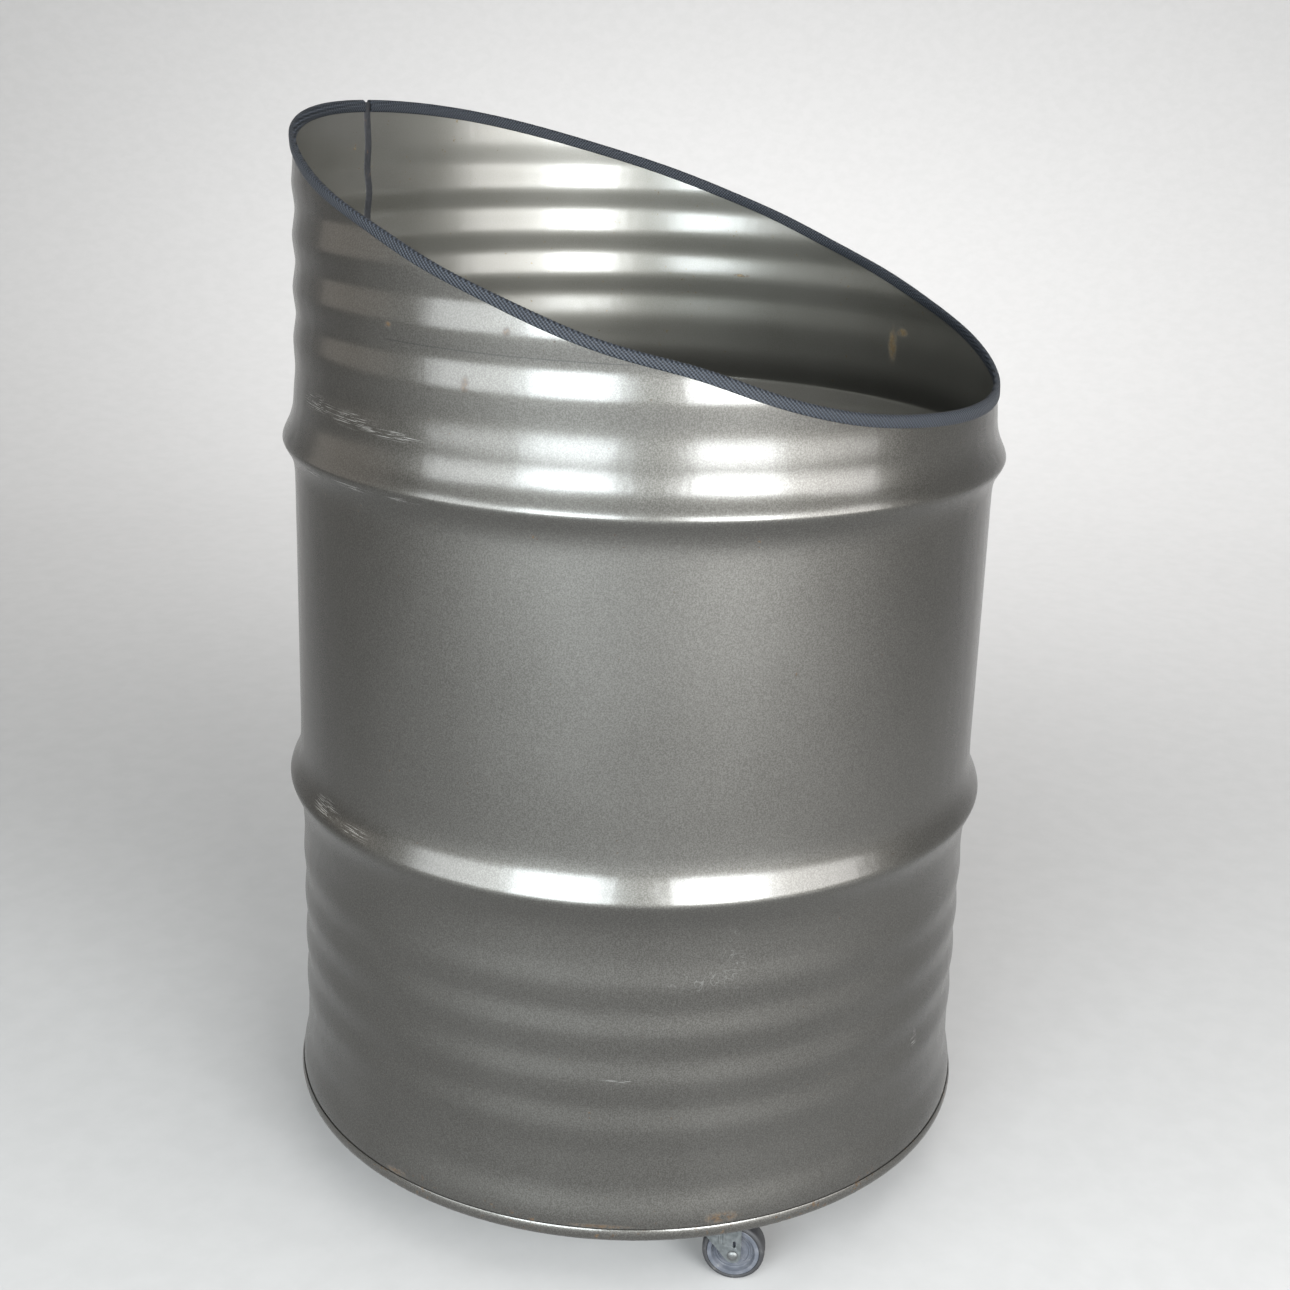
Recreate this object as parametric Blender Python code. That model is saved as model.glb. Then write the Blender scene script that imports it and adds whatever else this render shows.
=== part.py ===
"""A steel drum made into a wheeled bin: slanted open mouth, edge trim and four swivel castors.

Units are metres and +Z is up. The origin is on the drum's axis at floor level. The low side of
the slanted mouth faces -Y and its high side, with the side weld, faces +Y.
"""
import math

import bmesh
import bpy
from mathutils import Matrix, Vector

# Driving dimensions of the drum; heights are measured from the lower edge of the chime.
BODY_RADIUS = 0.2870
SHEET = 0.0012
HOOP_HEIGHTS = (0.2833, 0.5700)
HOOP_RISE = 0.0094
HOOP_SPREAD = 0.0150
HOOP_REACH = 0.0300
BEAD_COUNT = 4
LOWER_BEADS = {"first": 0.0918, "pitch": 0.0400, "depth": 0.0015}
UPPER_BEADS = {"first": 0.6478, "pitch": 0.0404, "depth": 0.0023}
TAPER_START = 0.5550
TAPER = 0.0125
MOUTH_HEIGHT = 0.7250
MOUTH_ANGLE = math.radians(19.5)
UNCUT_TOP = 0.8420

# Chime and bottom head.
CHIME_RADIUS = 0.2931
CHIME_HEIGHT = 0.0122
CHIME_WALL = 0.0014
CHIME_WIDTH = 0.0055
SEAM_PLAY = 0.0008
ROUND_OFF = 0.0010
FLARE_RADIUS = 0.2914
FLARE_HEIGHT = 0.0460
HEAD_RECESS = 0.0110
PANEL_RADIUS = 0.1750
PANEL_STEP = 0.0150
PANEL_RISE = 0.0050

# Edge trim.
TRIM_OUTER_LEG = 0.0062
TRIM_INNER_LEG = 0.0072
TRIM_CROWN = 0.0022
TRIM_WALL = 0.0011
TRIM_CLEARANCE = 0.0008
TRIM_SPLIT = 0.0040

# Castors; heights in this block are measured from the floor.
CASTOR_HEIGHT = 0.0750
CASTOR_CIRCLE = 0.2500
CASTOR_CORNERS = {"front_left": -135, "front_right": -45, "rear_right": 45, "rear_left": 135}
CASTOR_HEADING = math.radians(-70)
TRAIL = 0.0170
WHEEL_RADIUS = 0.0250
WHEEL_WIDTH = 0.0180
TYRE_SEAT = 0.0208
HUB_LENGTH = 0.0200
AXLE_RADIUS = 0.0030
KINGPIN_RADIUS = 0.0050
KINGPIN_HEAD = 0.0030
PLATE_SIDE = 0.0560
PLATE_CORNER = 0.0060
PLATE_THICKNESS = 0.0025
PLATE_HOLES = 0.0420
RACE_RADIUS = 0.0190
RACE_HEIGHT = 0.0055
RACE_EDGE = 0.0015
FORK_SHEET = 0.0020
FORK_WEB_TOP = 0.0637
FORK_EYE = 0.0065
FORK_BACK = -0.0205
FORK_BACK_LOW = 0.0598
FORK_SIDE_PLAY = 0.0005
SLOT_WIDTH = 0.0024
SLOT_HEIGHT = 0.0056
SLOT_ABOVE_AXLE = 0.0105
SLOT_AHEAD = 0.0012
HUB_WEB = 0.0038
HUB_RIM = 0.0032
RIM_SETBACK = 0.0008
TYRE_SETBACK = 0.0006
TYRE_SHOULDER = 0.0014
RIVET_HEAD = 0.0016

# M6 fasteners.
BOLT_RADIUS = 0.0030
HOLE_RADIUS = 0.0034
HEX_FLATS = 0.0100
BOLT_HEAD = 0.0040
NUT_HEIGHT = 0.0050
THREAD_SPARE = 0.0012

# Clearance between neighbours, the overlap that joins two shapes and the reach of cutting tools.
GAP = 0.0003
OVERLAP = 0.0004
REACH = 0.0300

DRUM_FACETS = 40
TRIM_FACETS = 80
WHEEL_FACETS = 20
HOLE_FACETS = 10
CHIME_BOTTOM = CASTOR_HEIGHT - HEAD_RECESS


def clear_scene():
    """Remove every object, so that the file holds this model only."""
    for item in list(bpy.data.objects):
        bpy.data.objects.remove(item, do_unlink=True)


def make_material(name, colour, roughness, metallic):
    """A Principled material with one colour."""
    material = bpy.data.materials.new(name)
    material.use_nodes = True
    shader = material.node_tree.nodes["Principled BSDF"]
    shader.inputs["Base Color"].default_value = (*colour, 1.0)
    shader.inputs["Roughness"].default_value = roughness
    shader.inputs["Metallic"].default_value = metallic
    material.diffuse_color = (*colour, 1.0)
    return material


def finish_mesh(name, shape, smooth_angle=30):
    """Turn a bmesh into a mesh with its faces pointing out and its round sides smooth."""
    bmesh.ops.recalc_face_normals(shape, faces=shape.faces)
    mesh = bpy.data.meshes.new(name)
    shape.to_mesh(mesh)
    shape.free()
    mesh.shade_smooth()
    mesh.set_sharp_from_angle(angle=math.radians(smooth_angle))
    return mesh


def turned(name, outline, facets, closed=True, phase=0.0):
    """Turn an outline of (radius, height) points about Z.

    A closed outline makes a ring. An open one is capped flat at its first and last points.
    """
    shape = bmesh.new()
    rings = []
    for radius, height in outline:
        ring = []
        for index in range(facets):
            angle = phase + 2.0 * math.pi * index / facets
            point = (radius * math.cos(angle), radius * math.sin(angle), height)
            ring.append(shape.verts.new(point))
        rings.append(ring)
    pairs = list(zip(rings, rings[1:]))
    if closed:
        pairs.append((rings[-1], rings[0]))
    else:
        shape.faces.new(rings[0])
        shape.faces.new(list(reversed(rings[-1])))
    for lower, upper in pairs:
        for index in range(facets):
            following = (index + 1) % facets
            shape.faces.new((lower[index], lower[following], upper[following], upper[index]))
    return finish_mesh(name, shape)


def prism(name, outline, low, high):
    """Extrude a flat outline of (x, y) points from z = low to z = high."""
    shape = bmesh.new()
    bottom = [shape.verts.new((x, y, low)) for x, y in outline]
    top = [shape.verts.new((x, y, high)) for x, y in outline]
    shape.faces.new(list(reversed(bottom)))
    shape.faces.new(top)
    for index in range(len(outline)):
        following = (index + 1) % len(outline)
        shape.faces.new((bottom[index], bottom[following], top[following], top[index]))
    return finish_mesh(name, shape)


def rod(name, radius, low, high, facets=HOLE_FACETS):
    """A plain round bar along Z."""
    return turned(name, [(radius, low), (radius, high)], facets, closed=False)


def moved(mesh, matrix):
    """Move a mesh's own points and give it back."""
    mesh.transform(matrix)
    return mesh


def combined(name, base, steps):
    """Add to and cut from a base mesh; each step is (operation, mesh)."""
    helpers = []
    solid = bpy.data.objects.new(name, base)
    bpy.context.collection.objects.link(solid)
    for operation, tool in steps:
        helper = bpy.data.objects.new(name + "_tool", tool)
        bpy.context.collection.objects.link(helper)
        helper.hide_render = True
        helper.display_type = "WIRE"
        helpers.append(helper)
        boolean = solid.modifiers.new(operation.lower(), "BOOLEAN")
        boolean.operation = operation
        boolean.solver = "EXACT"
        boolean.object = helper
    bpy.context.view_layer.update()
    graph = bpy.context.evaluated_depsgraph_get()
    result = bpy.data.meshes.new_from_object(solid.evaluated_get(graph))
    result.name = name
    for item in helpers + [solid]:
        bpy.data.objects.remove(item, do_unlink=True)
    result.shade_smooth()
    result.set_sharp_from_angle(angle=math.radians(30))
    return result


def place(name, mesh, material, matrix=None, parent=None):
    """Link one object and give it its own material."""
    item = bpy.data.objects.new(name, mesh)
    bpy.context.collection.objects.link(item)
    if parent is not None:
        item.parent = parent
    if matrix is not None:
        item.matrix_local = matrix
    if not mesh.materials:
        mesh.materials.append(material)
    return item


def make_empty(name, matrix, parent=None):
    """An empty on a joint's axis, which its moving pieces hang from."""
    item = bpy.data.objects.new(name, None)
    bpy.context.collection.objects.link(item)
    item.empty_display_size = 0.02
    if parent is not None:
        item.parent = parent
    item.matrix_local = matrix
    return item


def bead_points(beads):
    """Peaks and valleys of one group of beads, as (height, depth below the wall)."""
    half = beads["pitch"] / 2.0
    points = [(beads["first"] - half, beads["depth"] / 2.0)]
    for index in range(BEAD_COUNT):
        peak = beads["first"] + index * beads["pitch"]
        points.append((peak, 0.0))
        points.append((peak + half, beads["depth"]))
    points[-1] = (points[-1][0], beads["depth"] / 2.0)
    return points


def hoop_points(height):
    """A rolling hoop's swell with its soft feet, as (height, depth below the wall)."""
    points = []
    for share in (-1.0, -0.45, 0.0, 0.45, 1.0):
        away = share * HOOP_REACH
        rise = HOOP_RISE * math.exp(-((abs(away) / HOOP_SPREAD) ** 1.6))
        points.append((height + away, -rise))
    return points


def wall_outline():
    """The outside of the drum wall above the flare, as (radius, height) from the chime's edge."""
    points = bead_points(LOWER_BEADS)
    points += hoop_points(HOOP_HEIGHTS[0])
    points += hoop_points(HOOP_HEIGHTS[1])
    points += bead_points(UPPER_BEADS)
    points.append((UNCUT_TOP, UPPER_BEADS["depth"] * 0.4))
    outline = [(FLARE_RADIUS, CHIME_HEIGHT + SEAM_PLAY)]
    for share in (0.30, 0.55, 0.80, 1.0):
        swell = 0.5 * (1.0 + math.cos(math.pi * share))
        height = CHIME_HEIGHT + share * (FLARE_HEIGHT - CHIME_HEIGHT)
        outline.append((BODY_RADIUS + swell * (FLARE_RADIUS - BODY_RADIUS), height))
    for height, depth in points:
        taper = TAPER * max(0.0, height - TAPER_START)
        outline.append((BODY_RADIUS - depth - taper, height))
    return outline


def wall_radius(height):
    """Outside radius of the wall at a height above the chime's edge."""
    outline = wall_outline()
    for (lower, low), (upper, high) in zip(outline, outline[1:]):
        if height <= high:
            share = max(0.0, (height - low) / (high - low))
            return lower + share * (upper - lower)
    return outline[-1][0]


def rim_height(azimuth):
    """Height of the slanted cut above the chime's edge at one azimuth."""
    height = MOUTH_HEIGHT
    for _ in range(4):
        height = MOUTH_HEIGHT + math.tan(MOUTH_ANGLE) * wall_radius(height) * math.sin(azimuth)
    return height


def on_facet(azimuth):
    """How far a point on the faceted wall is drawn in from the true circle."""
    step = 2.0 * math.pi / DRUM_FACETS
    return math.cos(step / 2.0) / math.cos(azimuth % step - step / 2.0)


def mouth_cutter():
    """A block above the slanted mouth."""
    side = 4.0 * BODY_RADIUS
    square = [(-side, -side), (side, -side), (side, side), (-side, side)]
    block = prism("mouth_block", square, 0.0, side)
    tilt = Matrix.Rotation(MOUTH_ANGLE, 4, "X")
    return moved(block, Matrix.Translation((0.0, 0.0, MOUTH_HEIGHT)) @ tilt)


def make_body(steel):
    """The rolled and welded side wall, open at the mouth and folded into the chime below."""
    outer = wall_outline()
    hook = CHIME_WALL + SEAM_PLAY
    foot = CHIME_WALL + OVERLAP
    outline = [(FLARE_RADIUS, foot)] + outer
    outline += [(radius - SHEET, height) for radius, height in reversed(outer)]
    outline += [(FLARE_RADIUS - hook, CHIME_HEIGHT - SHEET), (FLARE_RADIUS - hook, foot)]
    wall = turned("drum_body", outline, DRUM_FACETS)
    body = combined("drum_body", wall, [("DIFFERENCE", mouth_cutter())])
    return place("drum_body", body, steel, Matrix.Translation((0.0, 0.0, CHIME_BOTTOM)))


def castor_frame(corner):
    """Frame of one castor's fixed half: on its swivel axis at floor level, X pointing outward."""
    azimuth = math.radians(CASTOR_CORNERS[corner])
    centre = Vector((CASTOR_CIRCLE * math.cos(azimuth), CASTOR_CIRCLE * math.sin(azimuth), 0.0))
    return Matrix.Translation(centre) @ Matrix.Rotation(azimuth, 4, "Z")


def plate_hole_places():
    """Places of the four holes in a castor plate, in the castor's own frame."""
    half = PLATE_HOLES / 2.0
    return [(half, half), (-half, half), (-half, -half), (half, -half)]


def hole_cutter(name, places, radius, low, high):
    """Round bars at several places as one cutting tool."""
    shape = bmesh.new()
    for matrix in places:
        bar = rod(name, radius, low, high)
        bar.transform(matrix)
        shape.from_mesh(bar)
        bpy.data.meshes.remove(bar)
    return finish_mesh(name, shape)


def make_bottom(steel):
    """The bottom head: stepped panel, countersink wall and the rolled chime around the body."""
    leg_outer = CHIME_RADIUS - CHIME_WIDTH + SHEET
    leg_inner = CHIME_RADIUS - CHIME_WIDTH
    slot_outer = CHIME_RADIUS - CHIME_WALL
    panel = HEAD_RECESS + SHEET
    outline = [
        (PANEL_RADIUS, panel + PANEL_RISE),
        (PANEL_RADIUS + PANEL_STEP, panel),
        (leg_outer - ROUND_OFF, panel),
        (leg_outer, panel - ROUND_OFF),
        (leg_outer, CHIME_WALL),
        (slot_outer, CHIME_WALL),
        (slot_outer, CHIME_HEIGHT - ROUND_OFF),
        (slot_outer + CHIME_WALL / 2.0, CHIME_HEIGHT),
        (CHIME_RADIUS, CHIME_HEIGHT - ROUND_OFF),
        (CHIME_RADIUS, CHIME_WALL),
        (CHIME_RADIUS - CHIME_WALL, 0.0),
        (leg_inner + CHIME_WALL, 0.0),
        (leg_inner, CHIME_WALL),
        (leg_inner, HEAD_RECESS - ROUND_OFF),
        (leg_inner - ROUND_OFF, HEAD_RECESS),
        (PANEL_RADIUS + PANEL_STEP, HEAD_RECESS),
        (PANEL_RADIUS, HEAD_RECESS + PANEL_RISE),
    ]
    head = turned("drum_bottom", outline, DRUM_FACETS, closed=False)
    places = []
    for corner in CASTOR_CORNERS:
        for x, y in plate_hole_places():
            places.append(castor_frame(corner) @ Matrix.Translation((x, y, 0.0)))
    low, high = HEAD_RECESS - PANEL_RISE, HEAD_RECESS + PANEL_RISE
    holes = hole_cutter("head_holes", places, HOLE_RADIUS, low, high)
    head = combined("drum_bottom", head, [("DIFFERENCE", holes)])
    return place("drum_bottom", head, steel, Matrix.Translation((0.0, 0.0, CHIME_BOTTOM)))


def trim_section():
    """Cross-section of the edge trim: (offset outward from the wall, height from the cut)."""
    outer = TRIM_CLEARANCE + TRIM_WALL
    inner = -SHEET - outer
    shoulder = TRIM_CROWN * 0.35
    middle = -TRIM_OUTER_LEG / 2.0
    return [
        (outer, -TRIM_OUTER_LEG),
        (outer, shoulder),
        (outer - TRIM_WALL, TRIM_CROWN * 0.8),
        (-SHEET / 2.0, TRIM_CROWN),
        (inner + TRIM_WALL, TRIM_CROWN * 0.8),
        (inner, shoulder),
        (inner, -TRIM_INNER_LEG),
        (inner + TRIM_WALL, -TRIM_INNER_LEG),
        (inner + TRIM_WALL, middle),
        (inner + TRIM_WALL, GAP),
        (outer - TRIM_WALL, GAP),
        (outer - TRIM_WALL, middle),
        (outer - TRIM_WALL, -TRIM_OUTER_LEG),
    ]


def make_trim(rubber):
    """The push-on edge trim, split where its two ends meet at the high point of the mouth."""
    section = trim_section()
    step = 2.0 * math.pi / TRIM_FACETS
    start = math.pi / 2.0
    half_split = TRIM_SPLIT / 2.0 / BODY_RADIUS
    stations = [start + half_split]
    stations += [start + index * step for index in range(1, TRIM_FACETS)]
    stations.append(start + 2.0 * math.pi - half_split)
    shape = bmesh.new()
    loops = []
    for azimuth in stations:
        cut = rim_height(azimuth)
        loop = []
        for offset, rise in section:
            radius = (wall_radius(cut + min(rise, 0.0)) + offset) * on_facet(azimuth)
            height = MOUTH_HEIGHT + math.tan(MOUTH_ANGLE) * radius * math.sin(azimuth) + rise
            point = (radius * math.cos(azimuth), radius * math.sin(azimuth), height)
            loop.append(shape.verts.new(point))
        loops.append(loop)
    shape.faces.new(loops[0])
    shape.faces.new(list(reversed(loops[-1])))
    for near, far in zip(loops, loops[1:]):
        for index in range(len(section)):
            following = (index + 1) % len(section)
            shape.faces.new((near[index], near[following], far[following], far[index]))
    mesh = finish_mesh("rim_trim", shape)
    return place("rim_trim", mesh, rubber, Matrix.Translation((0.0, 0.0, CHIME_BOTTOM)))


def plate_mesh():
    """A castor's top plate with the upper ball race pressed into its underside."""
    half = PLATE_SIDE / 2.0
    top = CASTOR_HEIGHT - GAP
    outline = []
    for index, (x, y) in enumerate([(1, 1), (-1, 1), (-1, -1), (1, -1)]):
        for turn in (0.0, 0.5, 1.0):
            angle = (index + turn) * math.pi / 2.0
            centre = Vector((x * (half - PLATE_CORNER), y * (half - PLATE_CORNER)))
            outline.append(centre + PLATE_CORNER * Vector((math.cos(angle), math.sin(angle))))
    slab = prism("castor_plate", outline, top - PLATE_THICKNESS, top)
    low = top - PLATE_THICKNESS - RACE_HEIGHT
    race_outline = [
        (RACE_RADIUS - RACE_EDGE, low),
        (RACE_RADIUS, low + RACE_EDGE),
        (RACE_RADIUS, top - PLATE_THICKNESS / 2.0),
    ]
    race = turned("upper_race", race_outline, WHEEL_FACETS, closed=False)
    places = [Matrix.Translation((x, y, 0.0)) for x, y in plate_hole_places()]
    holes = hole_cutter("plate_holes", places, HOLE_RADIUS, top - REACH, top + REACH)
    bore = rod("plate_bore", KINGPIN_RADIUS + GAP, low - REACH, top + REACH)
    steps = [("UNION", race), ("DIFFERENCE", holes), ("DIFFERENCE", bore)]
    return combined("castor_plate", slab, steps)


def kingpin_mesh():
    """The kingpin rivet, headed under the fork."""
    top = CASTOR_HEIGHT - 2.0 * GAP
    seat = FORK_WEB_TOP - FORK_SHEET - GAP
    outline = [
        (KINGPIN_RADIUS, top),
        (KINGPIN_RADIUS, seat),
        (1.6 * KINGPIN_RADIUS, seat),
        (1.5 * KINGPIN_RADIUS, seat - 0.6 * KINGPIN_HEAD),
        (0.8 * KINGPIN_RADIUS, seat - KINGPIN_HEAD),
    ]
    return turned("kingpin", outline, HOLE_FACETS, closed=False)


def fork_leg(name, low, high):
    """One leg of the fork, from its wide top down to the rounded eye around the axle."""
    top = FORK_WEB_TOP - OVERLAP / 2.0
    outline = [(TRAIL + FORK_EYE, top), (FORK_BACK, top), (FORK_BACK, FORK_BACK_LOW)]
    for degrees in (218, 244, 270, 300, 330, 360):
        angle = math.radians(degrees)
        outline.append((TRAIL + FORK_EYE * math.cos(angle), WHEEL_RADIUS + FORK_EYE * math.sin(angle)))
    plate = prism(name, outline, low, high)
    return moved(plate, Matrix.Rotation(math.pi / 2.0, 4, "X"))


def fork_mesh():
    """The pressed fork: lower race, web and two legs in one piece of steel."""
    inside = HUB_LENGTH / 2.0 + FORK_SIDE_PLAY
    outside = inside + FORK_SHEET
    web_low = FORK_WEB_TOP - FORK_SHEET
    front = TRAIL + FORK_EYE
    outline = [(FORK_BACK, -outside), (front, -outside), (front, outside), (FORK_BACK, outside)]
    web = prism("fork_web", outline, web_low, FORK_WEB_TOP)
    race_top = CASTOR_HEIGHT - GAP - PLATE_THICKNESS - RACE_HEIGHT - GAP
    race_outline = [
        (RACE_RADIUS, web_low + OVERLAP),
        (RACE_RADIUS, race_top - RACE_EDGE),
        (RACE_RADIUS - RACE_EDGE, race_top),
    ]
    race = turned("lower_race", race_outline, WHEEL_FACETS, closed=False)
    bore = rod("fork_bore", KINGPIN_RADIUS + GAP, web_low - FORK_SHEET, FORK_WEB_TOP + REACH)
    eye = rod("fork_eye", AXLE_RADIUS + GAP, -REACH, REACH)
    across = Matrix.Rotation(math.pi / 2.0, 4, "X")
    eye = moved(eye, Matrix.Translation((TRAIL, 0.0, WHEEL_RADIUS)) @ across)
    wide, tall = SLOT_WIDTH / 2.0, SLOT_HEIGHT / 2.0
    slot_outline = [(-wide, -tall), (wide, -tall), (wide, tall), (-wide, tall)]
    slot = prism("fork_slot", slot_outline, -REACH, REACH)
    slot_place = Matrix.Translation((TRAIL + SLOT_AHEAD, 0.0, WHEEL_RADIUS + SLOT_ABOVE_AXLE))
    slot = moved(slot, slot_place @ across)
    steps = [
        ("UNION", race),
        ("UNION", fork_leg("left_leg", inside, outside)),
        ("UNION", fork_leg("right_leg", -outside, -inside)),
        ("DIFFERENCE", bore),
        ("DIFFERENCE", eye),
        ("DIFFERENCE", slot),
    ]
    return combined("castor_fork", web, steps)


def axle_mesh():
    """The axle rivet, headed on both sides of the fork."""
    seat = HUB_LENGTH / 2.0 + FORK_SHEET + 3.0 * GAP
    end = seat + RIVET_HEAD
    outline = [
        (0.6 * AXLE_RADIUS, -end),
        (1.45 * AXLE_RADIUS, -seat),
        (AXLE_RADIUS, -seat),
        (AXLE_RADIUS, seat),
        (1.45 * AXLE_RADIUS, seat),
        (0.6 * AXLE_RADIUS, end),
    ]
    return turned("axle", outline, HOLE_FACETS, closed=False)


def mirrored_outline(half_outline):
    """Complete an outline of (radius, height) points that is the same on both sides of z = 0."""
    return half_outline + [(radius, -height) for radius, height in reversed(half_outline)]


def hub_mesh():
    """The plastic wheel centre: bored boss, recessed web and rim."""
    boss = 2.5 * AXLE_RADIUS
    rim = TYRE_SEAT - HUB_RIM
    face = WHEEL_WIDTH / 2.0 - RIM_SETBACK
    half = [
        (AXLE_RADIUS + GAP, HUB_LENGTH / 2.0),
        (boss, HUB_LENGTH / 2.0),
        (boss, HUB_WEB),
        (rim, HUB_WEB),
        (rim, face),
        (TYRE_SEAT, face),
    ]
    return turned("wheel_hub", mirrored_outline(half), WHEEL_FACETS, phase=math.pi / WHEEL_FACETS)


def tyre_mesh():
    """The soft tyre around the hub; the flats of its facets are one wheel radius from the axle."""
    to_corner = 1.0 / math.cos(math.pi / WHEEL_FACETS)
    side = WHEEL_WIDTH / 2.0 - TYRE_SETBACK
    tread = WHEEL_RADIUS * to_corner
    half = [
        (TYRE_SEAT + GAP, side),
        (tread - TYRE_SHOULDER, side),
        (tread, side - 2.5 * TYRE_SHOULDER),
    ]
    return turned("wheel_tyre", mirrored_outline(half), WHEEL_FACETS, phase=math.pi / WHEEL_FACETS)


def hexagon():
    """Corners of an M6 hexagon."""
    radius = HEX_FLATS / 2.0 / math.cos(math.pi / 6.0)
    turns = [k * math.pi / 3.0 for k in range(6)]
    return [(radius * math.cos(turn), radius * math.sin(turn)) for turn in turns]


def bolt_mesh():
    """A hexagon bolt, head up on the drum's floor, through the head, the plate and its nut."""
    seat = CASTOR_HEIGHT + SHEET + GAP
    end = CASTOR_HEIGHT - GAP - PLATE_THICKNESS - GAP - NUT_HEIGHT - THREAD_SPARE
    head = prism("castor_bolt", hexagon(), seat, seat + BOLT_HEAD)
    shank = rod("bolt_shank", BOLT_RADIUS, end, seat + OVERLAP)
    return combined("castor_bolt", head, [("UNION", shank)])


def nut_mesh():
    """A hexagon nut under the castor plate."""
    top = CASTOR_HEIGHT - GAP - PLATE_THICKNESS - GAP
    block = prism("castor_nut", hexagon(), top - NUT_HEIGHT, top)
    bore = rod("nut_bore", BOLT_RADIUS + GAP, top - REACH, top + REACH)
    return combined("castor_nut", block, [("DIFFERENCE", bore)])


def make_castor(corner, meshes, materials):
    """One castor with its fasteners; the fork swivels on the kingpin and the wheel turns in it."""
    fixed = castor_frame(corner)
    place(corner + "_plate", meshes["plate"], materials["zinc"], fixed)
    place(corner + "_kingpin", meshes["kingpin"], materials["rivet"], fixed)
    for number, (x, y) in enumerate(plate_hole_places(), start=1):
        spot = fixed @ Matrix.Translation((x, y, 0.0))
        place(f"{corner}_bolt_{number}", meshes["bolt"], materials["bolt"], spot)
        place(f"{corner}_nut_{number}", meshes["nut"], materials["bolt"], spot)
    heading = Matrix.Rotation(CASTOR_HEADING, 4, "Z")
    swivel = make_empty(corner + "_swivel", Matrix.Translation(fixed.translation) @ heading)
    to_axle = Matrix.Translation((TRAIL, 0.0, WHEEL_RADIUS)) @ Matrix.Rotation(math.pi / 2.0, 4, "X")
    spin = make_empty(corner + "_spin", to_axle, swivel)
    place(corner + "_fork", meshes["fork"], materials["zinc"], Matrix.Identity(4), swivel)
    place(corner + "_axle", meshes["axle"], materials["rivet"], to_axle, swivel)
    place(corner + "_hub", meshes["hub"], materials["plastic"], Matrix.Identity(4), spin)
    place(corner + "_tyre", meshes["tyre"], materials["tyre"], Matrix.Identity(4), spin)


def main():
    """Build the whole bin."""
    clear_scene()
    materials = {
        "steel": make_material("drum_steel", (0.155, 0.150, 0.142), 0.34, 1.0),
        "trim": make_material("trim_rubber", (0.045, 0.055, 0.068), 0.55, 0.0),
        "zinc": make_material("zinc_sheet", (0.42, 0.45, 0.47), 0.42, 1.0),
        "rivet": make_material("rivet_steel", (0.50, 0.50, 0.49), 0.35, 1.0),
        "plastic": make_material("hub_plastic", (0.22, 0.24, 0.28), 0.50, 0.0),
        "tyre": make_material("tyre_rubber", (0.060, 0.062, 0.068), 0.70, 0.0),
        "bolt": make_material("bolt_steel", (0.45, 0.46, 0.48), 0.35, 1.0),
    }
    bottom_steel = make_material("head_steel", (0.155, 0.150, 0.142), 0.36, 1.0)
    make_body(materials["steel"])
    make_bottom(bottom_steel)
    make_trim(materials["trim"])
    meshes = {
        "plate": plate_mesh(),
        "kingpin": kingpin_mesh(),
        "fork": fork_mesh(),
        "axle": axle_mesh(),
        "hub": hub_mesh(),
        "tyre": tyre_mesh(),
        "bolt": bolt_mesh(),
        "nut": nut_mesh(),
    }
    for corner in CASTOR_CORNERS:
        make_castor(corner, meshes, materials)
    bpy.context.view_layer.update()


main()
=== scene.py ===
"""Looks of the slant-mouthed steel drum bin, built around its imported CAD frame.

Heights called h are measured from the lower edge of the chime; z is measured from the floor.
The angle u runs round the drum from its low side (-Y, u = 0) towards +X.
"""
import math

import bmesh
import bpy
from mathutils import Matrix, Vector, noise


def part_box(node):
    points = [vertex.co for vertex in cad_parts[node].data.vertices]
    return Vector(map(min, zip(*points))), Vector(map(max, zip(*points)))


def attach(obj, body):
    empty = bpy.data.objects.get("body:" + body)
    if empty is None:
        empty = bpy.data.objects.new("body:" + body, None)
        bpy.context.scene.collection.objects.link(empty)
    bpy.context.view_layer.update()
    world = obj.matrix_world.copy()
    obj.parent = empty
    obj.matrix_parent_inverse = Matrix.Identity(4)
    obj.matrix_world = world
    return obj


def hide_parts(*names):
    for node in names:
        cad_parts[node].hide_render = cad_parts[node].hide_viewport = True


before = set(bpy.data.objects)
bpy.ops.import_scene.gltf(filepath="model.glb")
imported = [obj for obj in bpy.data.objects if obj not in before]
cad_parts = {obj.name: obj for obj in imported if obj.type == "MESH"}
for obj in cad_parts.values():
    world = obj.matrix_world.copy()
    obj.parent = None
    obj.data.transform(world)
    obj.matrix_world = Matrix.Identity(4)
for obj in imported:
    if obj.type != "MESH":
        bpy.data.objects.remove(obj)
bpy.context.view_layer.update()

# Drum, as in the CAD part.
CHIME_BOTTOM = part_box("drum_bottom")[0].z
BODY_RADIUS = 0.2870
SHEET = 0.0012
HOOPS = (
    {"height": 0.2833, "above": 0.0152, "below": 0.0154},
    {"height": 0.5700, "above": 0.0154, "below": 0.0118},
)
HOOP_RISE = 0.0094
HOOP_FALL_OFF = 1.6
BEAD_COUNT = 4
BEAD_CREASE = 0.88
BEAD_GROUPS = (
    {"first": 0.0918, "pitch": 0.0400, "depth": 0.0015, "foot": 0.0400, "foot_depth": 0.0010},
    {"first": 0.6478, "pitch": 0.0404, "depth": 0.0023, "foot": 0.0240, "foot_depth": 0.0012},
)
TAPER_START = 0.5550
TAPER = 0.0125
MOUTH_HEIGHT = 0.7250
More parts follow.
